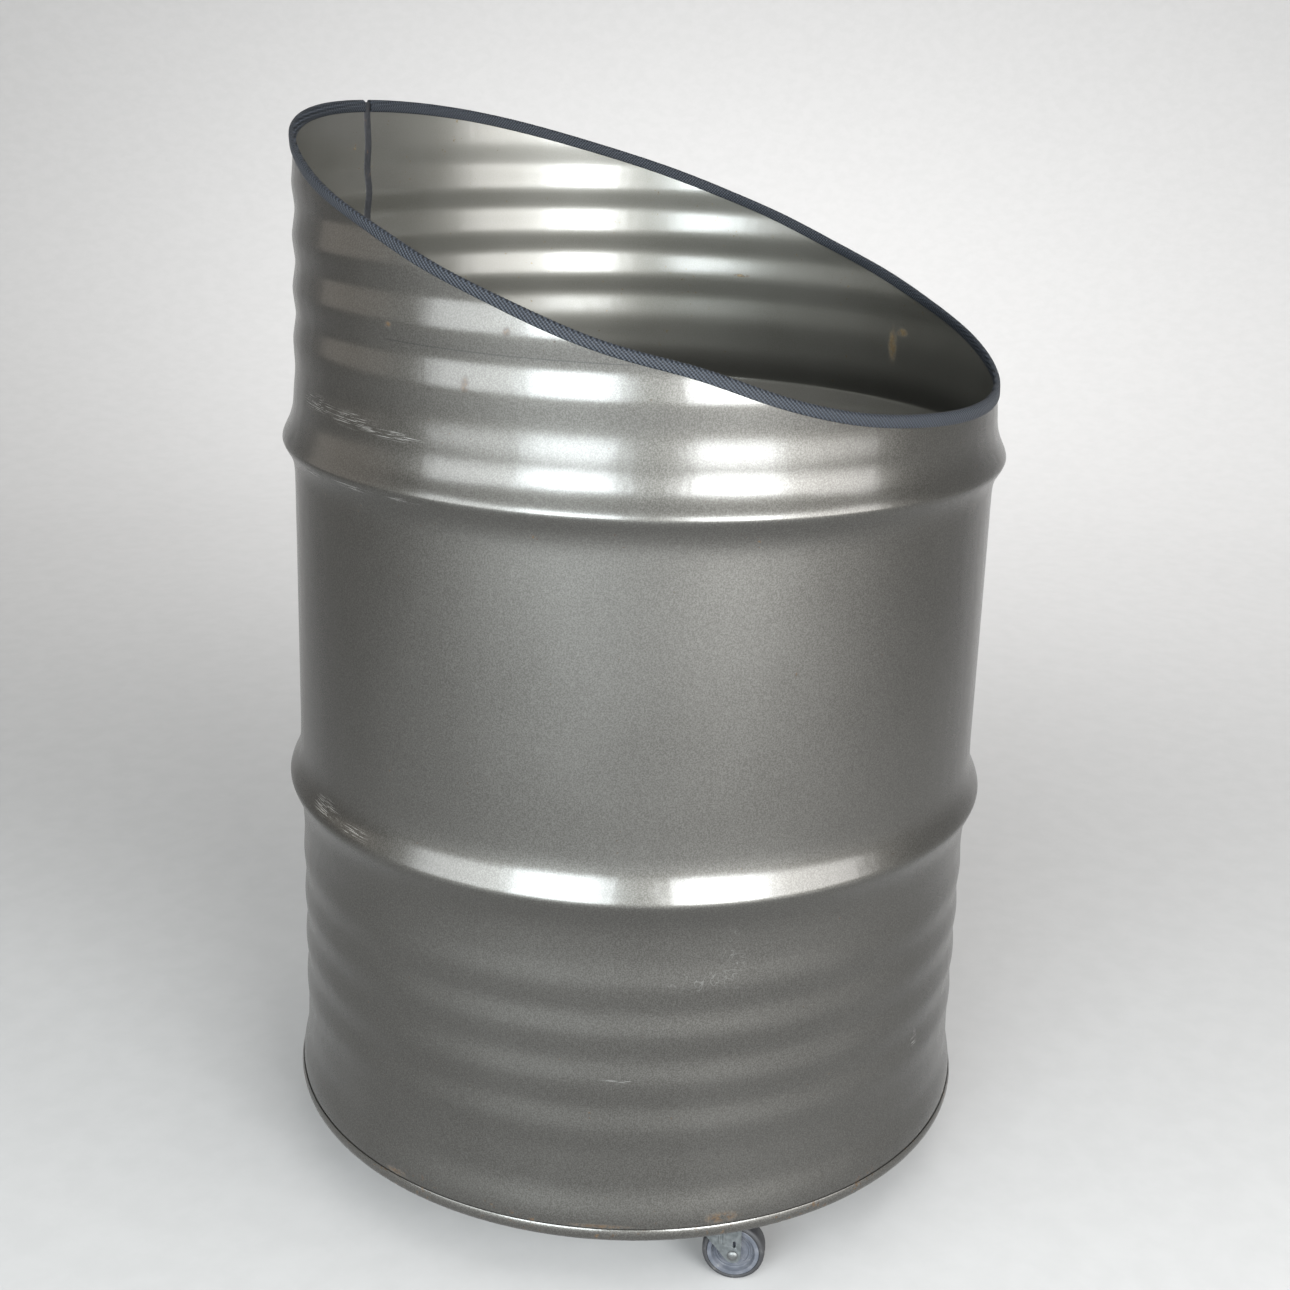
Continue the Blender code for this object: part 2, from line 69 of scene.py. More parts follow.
MOUTH_SLOPE = math.tan(math.radians(19.5))

# How far the rolled sheet strays from round: least at the foot, full above EVEN_FOOT + EVEN_FADE.
UNEVENNESS = 0.00035
EVEN_FOOT = 0.0200
EVEN_FADE = 0.0600

# How the hand-cut rim strays from its plane, with turn and spread in degrees round the axis.
RIM_BUMP = {"turn": -145.0, "spread": 9.0, "rise": 0.0032}
RIM_DIP = {"turn": -122.0, "spread": 12.0, "rise": -0.0022}

# Chime and bottom head.
CHIME_RADIUS = 0.2931
CHIME_HEIGHT = 0.0122
CHIME_WALL = 0.0014
CHIME_WIDTH = 0.0055
CHIME_CROWN = 0.0040
FLARE_RADIUS = 0.2914
FLARE_HEIGHT = 0.0460
HEAD_RECESS = 0.0110
PANEL_RADIUS = 0.1750
PANEL_STEP = 0.0150
PANEL_RISE = 0.0050
PANEL_EDGE = 0.0040

# Side weld, as (half width, height above the sheet), and its section as shares of those.
INNER_WELD = (0.0052, 0.0005)
OUTER_WELD = (0.0016, 0.0004)
WELD_ROWS = 220
WELD_SINK = -0.0004
WELD_SECTION = ((-0.95, 0.0), (-0.6, 0.75), (0.0, 1.0), (0.6, 0.75), (0.95, 0.0))

# Edge trim.
TRIM_LEG = 0.0072
TRIM_OUTER_LEG = 0.0062
TRIM_CROWN = 0.0022
TRIM_HALF = 0.0025
TRIM_SPLIT = 0.0085
TOOTH_PITCH = 0.0032
TOOTH_DEPTH = 0.00055
TOOTH_LIFT = 0.6
TOOTH_STEPS = ((0.0, 0.0), (0.30, 0.55), (0.62, 1.0), (0.80, 0.25))
WEAVE_ALONG = 0.0030
WEAVE_UP = 0.0034

# Castors.
CORNERS = {"front_left": -135, "front_right": -45, "rear_right": 45, "rear_left": 135}
CASTOR_HEIGHT = 0.0750
CASTOR_CIRCLE = 0.2500
CASTOR_HEADING = math.radians(-70)
TRAIL = 0.0170
WHEEL_RADIUS = 0.0250
WHEEL_WIDTH = 0.0180
TYRE_SEAT = 0.0208
HUB_LENGTH = 0.0200
AXLE_RADIUS = 0.0030
KINGPIN_RADIUS = 0.0050
PLATE_SIDE = 0.0560
PLATE_THICKNESS = 0.0025
PLATE_HOLES = 0.0420
PLATE_CORNER = 0.0060
RACE_RADIUS = 0.0190
RACE_HEIGHT = 0.0055
RACE_ROUND = 0.0016
FORK_SHEET = 0.0020
FORK_WEB_TOP = 0.0637
FORK_EYE = 0.0065
FORK_BACK = -0.0205
FORK_SHOULDER = 0.0598
SLOT_AHEAD = 0.0012
SLOT_ABOVE_AXLE = 0.0105
SLOT_HALVES = (0.0012, 0.0030)
RIB_PLACES = (0.0062, 0.0098)
RIB_HALF_WIDTH = 0.0011
RIB_HEIGHT = 0.0008
RIB_STEPS = ((0.0345, 0.05), (0.0365, 0.8), (0.038, 1.0), (0.0585, 1.0), (0.0605, 0.8), (0.0622, 0.05))
HEX_FLATS = 0.0100
HEX_FACE = 0.97
HEX_CLEAR = 0.0075
BOLT_HEAD = 0.0040
NUT_HEIGHT = 0.0050
THREAD_RADIUS = 0.0030
GAP = 0.0003

# Radius of the flat cap on the axis that closes a small turned piece.
CORE = 0.0005

WALL_COLUMNS = 224
ROUND_FACETS = 72


# Meshes

def finished(name, shape, smooth_angle=35):
    """Turn a bmesh into a mesh with outward faces and smooth round sides."""
    bmesh.ops.recalc_face_normals(shape, faces=shape.faces)
    mesh = bpy.data.meshes.new(name)
    shape.to_mesh(mesh)
    shape.free()
    mesh.shade_smooth()
    mesh.set_sharp_from_angle(angle=math.radians(smooth_angle))
    return mesh


def stitch(shape, lower, upper):
    """Join two closed rings of points with four-sided faces."""
    count = len(lower)
    for k in range(count):
        n = (k + 1) % count
        shape.faces.new((lower[k], lower[n], upper[n], upper[k]))


def lathe(name, outline, facets=ROUND_FACETS, closed=True, smooth_angle=35):
    """Turn (radius, height) points about Z; an open outline is capped at both ends."""
    shape = bmesh.new()
    turns = [2.0 * math.pi * k / facets for k in range(facets)]
    rings = []
    for radius, height in outline:
        ring = [(radius * math.cos(turn), radius * math.sin(turn), height) for turn in turns]
        rings.append([shape.verts.new(point) for point in ring])
    pairs = list(zip(rings, rings[1:]))
    if closed:
        pairs.append((rings[-1], rings[0]))
    else:
        shape.faces.new(rings[0])
        shape.faces.new(list(reversed(rings[-1])))
    for lower, upper in pairs:
        stitch(shape, lower, upper)
    return finished(name, shape, smooth_angle)


def swept(name, loops, smooth_angle=35):
    """Join closed cross-sections, given as lists of points, into one capped strip."""
    shape = bmesh.new()
    rings = [[shape.verts.new(point) for point in loop] for loop in loops]
    shape.faces.new(rings[0])
    shape.faces.new(list(reversed(rings[-1])))
    for near, far in zip(rings, rings[1:]):
        stitch(shape, near, far)
    return finished(name, shape, smooth_angle)


def prism(name, outline, low, high):
    """Extrude (x, y) points from z = low to z = high."""
    return swept(name, [[(x, y, low) for x, y in outline], [(x, y, high) for x, y in outline]])


def moved(mesh, matrix):
    """Move a mesh's own points and give it back."""
    mesh.transform(matrix)
    return mesh


def settled(name, mesh, add_modifiers):
    """Apply modifiers to a mesh through a helper object and give back the result."""
    helper = bpy.data.objects.new(name, mesh)
    bpy.context.scene.collection.objects.link(helper)
    others = add_modifiers(helper) or []
    bpy.context.view_layer.update()
    graph = bpy.context.evaluated_depsgraph_get()
    result = bpy.data.meshes.new_from_object(helper.evaluated_get(graph))
    result.name = name
    for item in [helper, *others]:
        bpy.data.objects.remove(item, do_unlink=True)
    return result


def combined(name, base, steps, bevel=0.0, smooth_angle=35):
    """Add to and cut from a base mesh; each step is (operation, mesh). Then round its edges."""
    def modifiers(helper):
        tools = []
        for operation, mesh in steps:
            tool = bpy.data.objects.new(name + "_tool", mesh)
            bpy.context.scene.collection.objects.link(tool)
            boolean = helper.modifiers.new(operation.lower(), "BOOLEAN")
            boolean.operation = operation
            boolean.solver = "EXACT"
            boolean.object = tool
            tools.append(tool)
        if bevel:
            rounding = helper.modifiers.new("rounding", "BEVEL")
            rounding.width = bevel
            rounding.segments = 2
            rounding.limit_method = "ANGLE"
            rounding.angle_limit = math.radians(40)
        return tools
    result = settled(name, base, modifiers)
    result.shade_smooth()
    result.set_sharp_from_angle(angle=math.radians(smooth_angle))
    return result


def piece(name, mesh, materials, body, replaced, matrix=None):
    """Link one object, give it its materials and tie it to the CAD."""
    item = bpy.data.objects.new(name, mesh)
    bpy.context.scene.collection.objects.link(item)
    if matrix is not None:
        item.matrix_world = matrix
    for index, material in enumerate(materials):
        if index < len(mesh.materials):
            mesh.materials[index] = material
        else:
            mesh.materials.append(material)
    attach(item, body)
    if replaced:
        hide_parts(*replaced)
    return item


# Shape of the drum wall

def hoop_rise(h):
    """Outward swell of the two rolling hoops, with a narrow crest and soft feet."""
    rise = 0.0
    for hoop in HOOPS:
        away = h - hoop["height"]
        spread = hoop["above"] if away > 0.0 else hoop["below"]
        rise += HOOP_RISE * math.exp(-((abs(away) / spread) ** HOOP_FALL_OFF))
    return rise


def bead_wave(turn):
    """Zigzag with rounded corners, 0 on a bead's crest and 1 in the groove between two."""
    return 0.5 - 0.5 * math.asin(BEAD_CREASE * math.cos(turn)) / math.asin(BEAD_CREASE)


def bead_depth(h):
    """Inward depth of the small beads, which fade into the wall on both sides of a group."""
    for group in BEAD_GROUPS:
        half = group["pitch"] / 2.0
        last = group["first"] + (BEAD_COUNT - 1) * group["pitch"]
        low, high = group["first"] - half, last + half
        if group["first"] <= h <= last:
            return group["depth"] * bead_wave(2.0 * math.pi * (h - group["first"]) / group["pitch"])
        if low <= h <= high:
            return group["foot_depth"] * bead_wave(2.0 * math.pi * (h - group["first"]) / group["pitch"])
        away = min(abs(h - low), abs(h - high)) / group["foot"]
        if away < 1.0:
            return group["foot_depth"] * 0.5 * (1.0 + math.cos(math.pi * away))
    return 0.0


def flare(h):
    """Outward flare of the wall into the chime."""
    share = min(max((h - CHIME_HEIGHT) / (FLARE_HEIGHT - CHIME_HEIGHT), 0.0), 1.0)
    return (FLARE_RADIUS - BODY_RADIUS) * 0.5 * (1.0 + math.cos(math.pi * share))


def unevenness(angle, h):
    """Slow waves of the rolled sheet, gone at the chime."""
    point = Vector((2.4 * math.cos(angle), 2.4 * math.sin(angle), 5.0 * h))
    fade = min(max((h - EVEN_FOOT) / EVEN_FADE, 0.0), 1.0)
    return UNEVENNESS * fade * noise.noise(point)


def wall_radius(h, angle=None):
    """Outside radius of the wall."""
    radius = BODY_RADIUS + hoop_rise(h) - bead_depth(h) + flare(h) - TAPER * max(0.0, h - TAPER_START)
    if angle is not None:
        radius += unevenness(angle, h)
    return radius


def rim_swell(turn, swell):
    """One bump or dip of the cut edge at an angle in degrees."""
    return swell["rise"] * math.exp(-((turn - swell["turn"]) / swell["spread"]) ** 2)


def rim_wave(angle):
    """How far the hand-cut rim strays from its plane."""
    turn = math.degrees(angle) % 360.0 - 360.0
    slow = 0.0006 * math.sin(3.0 * angle + 0.7) + 0.0004 * math.sin(7.0 * angle)
    return rim_swell(turn, RIM_BUMP) + rim_swell(turn, RIM_DIP) + slow


def rim_height(angle, radius):
    """Height h of the cut edge."""
    return MOUTH_HEIGHT + MOUTH_SLOPE * radius * math.sin(angle) + rim_wave(angle)


def wall_levels():
    """Heights of the wall's rows of points, closer where it bends more."""
    zones = (
        (CHIME_HEIGHT - 0.0020, FLARE_HEIGHT, 0.0045),
        (FLARE_HEIGHT, 0.2520, 0.0040),
        (0.2520, 0.2740, 0.0022),
        (0.2740, 0.2920, 0.0012),
        (0.2920, 0.3180, 0.0022),
        (0.3180, 0.5380, 0.0110),
        (0.5380, 0.5620, 0.0020),
        (0.5620, 0.5780, 0.0011),
        (0.5780, 0.6060, 0.0020),
        (0.6060, 0.8400, 0.0036),
        (0.8400, 0.8500, 0.0100),
    )
    levels = []
    for low, high, step in zones:
        count = max(1, round((high - low) / step))
        levels += [low + (high - low) * k / count for k in range(count)]
    return levels + [zones[-1][1]]


def wall_mesh():
    """The drum wall with its slanted, slightly uneven mouth, 1.2 mm thick."""
    shape = bmesh.new()
    rows = []
    for h in wall_levels():
        row = []
        for k in range(WALL_COLUMNS):
            angle = 2.0 * math.pi * k / WALL_COLUMNS
            radius = wall_radius(h, angle)
            point = (radius * math.cos(angle), radius * math.sin(angle), h - rim_wave(angle))
            row.append(shape.verts.new(point))
        rows.append(row)
    for lower, upper in zip(rows, rows[1:]):
        stitch(shape, lower, upper)
    slanted = Vector((0.0, -MOUTH_SLOPE, 1.0)).normalized()
    everything = list(shape.verts) + list(shape.edges) + list(shape.faces)
    bmesh.ops.bisect_plane(
        shape, geom=everything, dist=1e-6, plane_co=(0.0, 0.0, MOUTH_HEIGHT), plane_no=slanted,
        clear_outer=True,
    )
    for vertex in shape.verts:
        vertex.co.z += rim_wave(math.atan2(vertex.co.y, vertex.co.x)) + CHIME_BOTTOM
    sheet = finished("steel_wall", shape)

    def thicken(helper):
        solid = helper.modifiers.new("sheet", "SOLIDIFY")
        solid.thickness = SHEET
        solid.offset = -1.0
        solid.use_rim = True
        solid.material_offset = 1
        helper.data.materials.append(None)
        helper.data.materials.append(None)

    wall = settled("steel_wall", sheet, thicken)
    wall.shade_smooth()
    wall.set_sharp_from_angle(angle=math.radians(50))
    return wall


def pressed_panel(base):
    """Profile of the raised centre panel over a base height, from the axis outwards."""
    foot = PANEL_RADIUS + PANEL_STEP
    return [
        (PANEL_EDGE, base + PANEL_RISE),
        (PANEL_RADIUS - PANEL_EDGE, base + PANEL_RISE),
        (PANEL_RADIUS, base + PANEL_RISE - 0.0004),
        (PANEL_RADIUS + PANEL_STEP * 0.5, base + PANEL_RISE * 0.5),
        (foot, base + 0.0003),
        (foot + PANEL_EDGE, base),
    ]


def head_mesh():
    """The bottom head, with the rounded chime that it is seamed into."""
    inner = CHIME_RADIUS - CHIME_WIDTH
    slot = CHIME_RADIUS - CHIME_WALL
    panel = HEAD_RECESS + SHEET
    outline = pressed_panel(panel)
    outline += [
        (inner - 0.0030, panel),
        (inner - 0.0004, panel - 0.0006),
        (inner + SHEET, panel - 0.0022),
        (inner + SHEET, CHIME_WALL),
        (slot, CHIME_WALL),
        (slot, CHIME_HEIGHT - 0.0022),
    ]
    outline += rolled_edge(CHIME_RADIUS - CHIME_CROWN, CHIME_HEIGHT / 2.0, 44, -70, 17)
    outline += arc(CHIME_RADIUS - CHIME_WIDTH / 2, CHIME_WIDTH / 2, CHIME_WIDTH / 2, -90, -180, 9)
    outline += [
        (inner, HEAD_RECESS - 0.0030),
        (inner - 0.0010, HEAD_RECESS - 0.0008),
        (inner - 0.0032, HEAD_RECESS),
    ]
    outline += reversed(pressed_panel(HEAD_RECESS))
    mesh = lathe("bottom_head", outline, 192, closed=False, smooth_angle=50)
    return moved(mesh, Matrix.Translation((0.0, 0.0, CHIME_BOTTOM)))


def rolled_edge(x, y, start, end, count):
    """Points on the crowned outer face of the rolled chime."""
    points = []
    for share, height in arc(0.0, 0.0, 1.0, start, end, count):
        points.append((x + CHIME_CROWN * share, y + CHIME_HEIGHT / 2.0 * height))
    return points


def arc(x, y, radius, start, end, count):
    """Points on a round corner, from one angle to another in degrees."""
    points = []
    for k in range(count):
        angle = math.radians(start + (end - start) * k / (count - 1))
        points.append((x + radius * math.cos(angle), y + radius * math.sin(angle)))
    return points


def trim_outline():
    """Cross-section of the trim as (offset from the sheet's middle, rise above the cut, tooth share)."""
    lip = SHEET / 2.0 + 0.0003
    leg_inside = TRIM_HALF - 0.0011
    foot = -TRIM_OUTER_LEG
    points = [(leg_inside, foot * 0.55, 0.0), (lip, foot + 0.0012, 0.0), (lip + 0.0005, foot, 0.0)]
    points += [(TRIM_HALF - 0.0006, foot + 0.0001, 0.0), (TRIM_HALF, foot + 0.0010, 0.0)]
    points += [(TRIM_HALF, foot * 0.5, 0.0), (TRIM_HALF, -0.0010, 0.0)]
    for degrees in (20, 45, 70, 90, 110, 130, 150, 170):
        angle = math.radians(degrees)
        tooth = max(0.0, -math.cos(angle)) ** 0.5
        rise = -0.0004 + (TRIM_CROWN + 0.0004) * math.sin(angle)
        points.append((TRIM_HALF * math.cos(angle), rise, tooth))
    foot = -TRIM_LEG
    points += [(-TRIM_HALF, -0.0014, 1.0), (-TRIM_HALF, foot * 0.45, 0.5), (-TRIM_HALF, foot + 0.001, 0.0)]
    points += [(-TRIM_HALF + 0.0006, foot + 0.0001, 0.0), (-lip - 0.0005, foot, 0.0)]
    points += [(-lip, foot + 0.0012, 0.0), (-leg_inside, foot * 0.55, 0.0)]
    points += [(-leg_inside, 0.0002, 0.0), (leg_inside, 0.0002, 0.0)]
    return points


def trim_mesh():
    """The push-on trim, with a toothed inner shoulder, split over the weld."""
    section = trim_outline()
    half_split = TRIM_SPLIT / 2.0 / BODY_RADIUS
    start = math.pi / 2.0 + half_split
    span = 2.0 * math.pi - 2.0 * half_split
    teeth = round(span * BODY_RADIUS / TOOTH_PITCH)
    stations = []
    for tooth in range(teeth):
        for share, raised in TOOTH_STEPS:
            stations.append((start + span * (tooth + share) / teeth, raised))
    stations.append((start + span, 0.0))
    loops = []
    for angle, raised in stations:
        cut = rim_height(angle, BODY_RADIUS)
        direction = Vector((math.cos(angle), math.sin(angle), 0.0))
        slope = MOUTH_SLOPE * math.sin(angle)
        loop = []
        for offset, rise, tooth in section:
            radius = wall_radius(cut + min(rise, 0.0), angle) - SHEET / 2.0
            swell = TOOTH_DEPTH * tooth * raised
            reach = radius + (offset - swell if offset < 0.0 else offset)
            lift = TOOTH_LIFT * swell if rise > -0.001 else 0.0
            height = cut + rise + slope * (reach - BODY_RADIUS) + lift
            loop.append(direction * reach + Vector((0.0, 0.0, height + CHIME_BOTTOM)))
        loops.append(loop)
    return swept("edge_trim", loops, 60)


def seam_mesh(name, side, half_width, proud):
    """A strip down the side weld; side is 1 outside and -1 inside."""
    loops = []
    low = CHIME_HEIGHT + 0.004
    high = rim_height(math.pi / 2.0, BODY_RADIUS) - 0.001
    for k in range(WELD_ROWS + 1):
        h = low + (high - low) * k / WELD_ROWS
        base = wall_radius(h, math.pi / 2.0) - (SHEET if side < 0 else 0.0)
        sway = 0.0005 * noise.noise(Vector((0.0, side, 14.0 * h)))
        swell = proud * (1.0 + 0.30 * noise.noise(Vector((3.0, side, 160.0 * h))))
        section = [(-1.0, WELD_SINK), *[(x, swell * share) for x, share in WELD_SECTION], (1.0, WELD_SINK)]
        z = h + CHIME_BOTTOM
        loops.append([(x * half_width + sway, base + side * rise, z) for x, rise in section])
    return swept(name, loops, 60)


# Castor meshes

def rounded_square(half, corner):
    """Outline of a square plate with rounded corners."""
    points = []
    for k, (x, y) in enumerate([(1, 1), (-1, 1), (-1, -1), (1, -1)]):
        points += arc(x * (half - corner), y * (half - corner), corner, k * 90, k * 90 + 90, 7)
    return points


def plate_mesh():
    """Castor top plate and the upper race pressed into it."""
    top = CASTOR_HEIGHT - GAP
    under = top - PLATE_THICKNESS
    slab = prism("plate", rounded_square(PLATE_SIDE / 2.0, PLATE_CORNER), under, top)
    low = under - RACE_HEIGHT
    race = [(RACE_RADIUS + 0.002, under + 0.001), (RACE_RADIUS + 0.002, under)]
    race += arc(RACE_RADIUS - RACE_ROUND, low + RACE_ROUND, RACE_ROUND, 0, -90, 6)
    race += [(0.012, low), (0.010, low + 0.0012), (KINGPIN_RADIUS + GAP, low + 0.0012)]
    race += [(KINGPIN_RADIUS + GAP, under + 0.001)]
    ring = lathe("upper_race", race, ROUND_FACETS)
    return combined("plate", slab, [("UNION", ring)], bevel=0.0004)


def kingpin_mesh():
    """The kingpin rivet with its peened head."""
    top = CASTOR_HEIGHT - 2.0 * GAP
    seat = FORK_WEB_TOP - FORK_SHEET - GAP
    outline = [(0.0008, top), (KINGPIN_RADIUS - 0.0004, top), (KINGPIN_RADIUS, top - 0.0004)]
    outline += [(KINGPIN_RADIUS, seat)]
    outline += [(1.58 * KINGPIN_RADIUS, seat), (1.6 * KINGPIN_RADIUS, seat - 0.0004)]
    outline += [(1.45 * KINGPIN_RADIUS, seat - 0.0018), (1.1 * KINGPIN_RADIUS, seat - 0.0027)]
    outline += [(0.6 * KINGPIN_RADIUS, seat - 0.0030), (0.0008, seat - 0.0030)]
    return lathe("kingpin", outline, 40, closed=False, smooth_angle=45)


def fork_leg(name, low, high):
    """One leg, from its wide top down to the rounded eye around the axle."""
    top = FORK_WEB_TOP - 0.0002
    outline = [(TRAIL + FORK_EYE, top), (FORK_BACK, top), (FORK_BACK, FORK_SHOULDER)]
    outline += arc(TRAIL, WHEEL_RADIUS, FORK_EYE, 214, 360, 14)
    return moved(prism(name, outline, low, high), Matrix.Rotation(math.pi / 2.0, 4, "X"))


def rib_mesh(x, side, outside):
    """A pressed rib standing out of a leg."""
    loops = []
    for z, share in RIB_STEPS:
        loop = []
        for degrees in range(0, 360, 30):
            angle = math.radians(degrees)
            rise = RIB_HEIGHT * share * math.sin(angle)
            loop.append((x + RIB_HALF_WIDTH * math.cos(angle), side * (outside + rise), z))
        loops.append(loop)
    return swept("rib", loops, 60)


def fork_mesh():
    """The pressed fork: lower race, web and two legs with ribs and a small slot."""
    inside = HUB_LENGTH / 2.0 + GAP + 0.0002
    outside = inside + FORK_SHEET
    low = FORK_WEB_TOP - FORK_SHEET
    front, back = TRAIL + FORK_EYE, FORK_BACK
    corners = [(back, -outside), (front, -outside), (front, outside), (back, outside)]
    web = prism("web", corners, low, FORK_WEB_TOP)
    race_top = CASTOR_HEIGHT - GAP - PLATE_THICKNESS - RACE_HEIGHT - GAP
    race = [(CORE, low + 0.0004), (RACE_RADIUS, low + 0.0004), (RACE_RADIUS, race_top - 0.0014)]
    race += arc(RACE_RADIUS - 0.0014, race_top - 0.0014, 0.0014, 0, 90, 5) + [(CORE, race_top)]
    slot_place = Matrix.Translation((TRAIL + SLOT_AHEAD, 0.0, WHEEL_RADIUS + SLOT_ABOVE_AXLE))
    slot = prism("slot", rounded_slot(*SLOT_HALVES), -0.03, 0.03)
    steps = [
        ("UNION", lathe("lower_race", race, 48, closed=False)),
        ("UNION", fork_leg("left_leg", inside, outside)),
        ("UNION", fork_leg("right_leg", -outside, -inside)),
        ("DIFFERENCE", moved(slot, slot_place @ Matrix.Rotation(math.pi / 2.0, 4, "X"))),
    ]
    for side in (1.0, -1.0):
        for x in RIB_PLACES:
            steps.append(("UNION", rib_mesh(x, side, outside)))
    return combined("fork", web, steps, bevel=0.00035)


def rounded_slot(half_width, half_height):
    """Outline of an upright slot with round ends."""
    straight = half_height - half_width
    return arc(0.0, straight, half_width, 0, 180, 7) + arc(0.0, -straight, half_width, 180, 360, 7)


def mirrored(half):
    """Complete (radius, height) points that repeat below z = 0."""
    return half + [(radius, -height) for radius, height in reversed(half)]


def axle_mesh():
    """The axle rivet with domed heads."""
    seat = HUB_LENGTH / 2.0 + FORK_SHEET + 3.0 * GAP
    head = [(0.0004, seat + 0.0017), (0.0016, seat + 0.0016), (0.0030, seat + 0.0012)]
    head += [(0.0040, seat + 0.0005), (0.00435, seat), (AXLE_RADIUS, seat)]
    return lathe("axle", mirrored(head), 32, closed=False, smooth_angle=45)


def hub_mesh():
    """The moulded wheel centre: bored boss, dished web with a ring, and rim."""
    face = WHEEL_WIDTH / 2.0 - 0.0008
    end = HUB_LENGTH / 2.0
    half = [(AXLE_RADIUS + GAP, end), (0.0070, end), (0.0075, end - 0.0005)]
    half += [(0.0078, 0.0062), (0.0086, 0.0054), (0.0122, 0.0050), (0.0128, 0.0058), (0.0138, 0.0058)]
    half += [(0.0144, 0.0048), (0.0156, 0.0044), (0.0166, 0.0052), (0.0171, face - 0.0006), (0.0176, face)]
    half += [(TYRE_SEAT - 0.0004, face), (TYRE_SEAT, face - 0.0004)]
    return lathe("wheel_centre", mirrored(half), 96, smooth_angle=40)


def tyre_mesh():
    """The tyre: a slightly crowned tread with round shoulders."""
    side = WHEEL_WIDTH / 2.0
    half = [(TYRE_SEAT + GAP, side - 0.0010), (TYRE_SEAT + 0.0008, side - 0.0006)]
    half += arc(WHEEL_RADIUS - 0.0030, side - 0.0034, 0.0028, 90, 12, 8)
    half += [(WHEEL_RADIUS, side - 0.0062), (WHEEL_RADIUS, 0.0012)]
    return lathe("tyre", mirrored(half), 96, smooth_angle=50)


def hexagon():
    """Corners of the M6 hexagon."""
    radius = HEX_FLATS / 2.0 / math.cos(math.pi / 6.0)
    turns = [k * math.pi / 3.0 for k in range(6)]
    return [(radius * math.cos(turn), radius * math.sin(turn)) for turn in turns]


def chamfered_hexagon(name, low, high, low_cut, high_cut):
    """A hexagon with its corners turned off at one or both ends."""
    block = prism(name, hexagon(), low, high)
    face = HEX_FLATS / 2.0 * HEX_FACE
    slope = (HEX_CLEAR - face) * math.tan(math.radians(30))
    outline = [(CORE, high)]
    outline += [(face, high), (HEX_CLEAR, high - slope)] if high_cut else [(HEX_CLEAR, high)]
    outline += [(HEX_CLEAR, low + slope), (face, low)] if low_cut else [(HEX_CLEAR, low)]
    outline += [(CORE, low)]
    turning = lathe("turning", outline, 48, closed=False)
    return combined(name, block, [("INTERSECT", turning)], bevel=0.0002)


def thread_outline(low, high):
    """Sawn profile of a fine thread between two heights, from the top down."""
    pitch, depth = 0.0010, 0.0005
    points = []
    count = round((high - low) / pitch)
    for k in range(count):
        top = high - (high - low) * k / count
        points += [(THREAD_RADIUS - depth, top), (THREAD_RADIUS, top - pitch / 2.0)]
    return points + [(THREAD_RADIUS - depth, low)]


def bolt_mesh():
    """One hexagon bolt through the head and the plate, with its thread below."""
    seat = CASTOR_HEIGHT + SHEET + GAP
    end = CASTOR_HEIGHT - GAP - PLATE_THICKNESS - GAP - NUT_HEIGHT - 0.0012
    head = chamfered_hexagon("bolt_head", seat, seat + BOLT_HEAD, False, True)
    outline = [(CORE, seat + 0.0010), (THREAD_RADIUS, seat + 0.0010)]
    outline += thread_outline(end + 0.0004, CASTOR_HEIGHT) + [(0.0020, end), (CORE, end)]
    shank = lathe("shank", outline, 32, closed=False, smooth_angle=20)
    return combined("bolt", head, [("UNION", shank)])


def nut_mesh():
    """One hexagon nut under the plate."""
    top = CASTOR_HEIGHT - GAP - PLATE_THICKNESS - GAP
    block = chamfered_hexagon("nut", top - NUT_HEIGHT, top, True, True)
    radius = THREAD_RADIUS + 0.0001
    bore = lathe("bore", [(radius, top + 0.01), (radius, top - 0.02)], 32, closed=False)
    return combined("nut", block, [("DIFFERENCE", bore)])


def gathered(name, mesh, places):
    """Copies of a small mesh at several places as one mesh."""
    shape = bmesh.new()
    for matrix in places:
        copy = mesh.copy()
        copy.transform(matrix)
        shape.from_mesh(copy)
        bpy.data.meshes.remove(copy)
    return finished(name, shape, 30)


# Materials

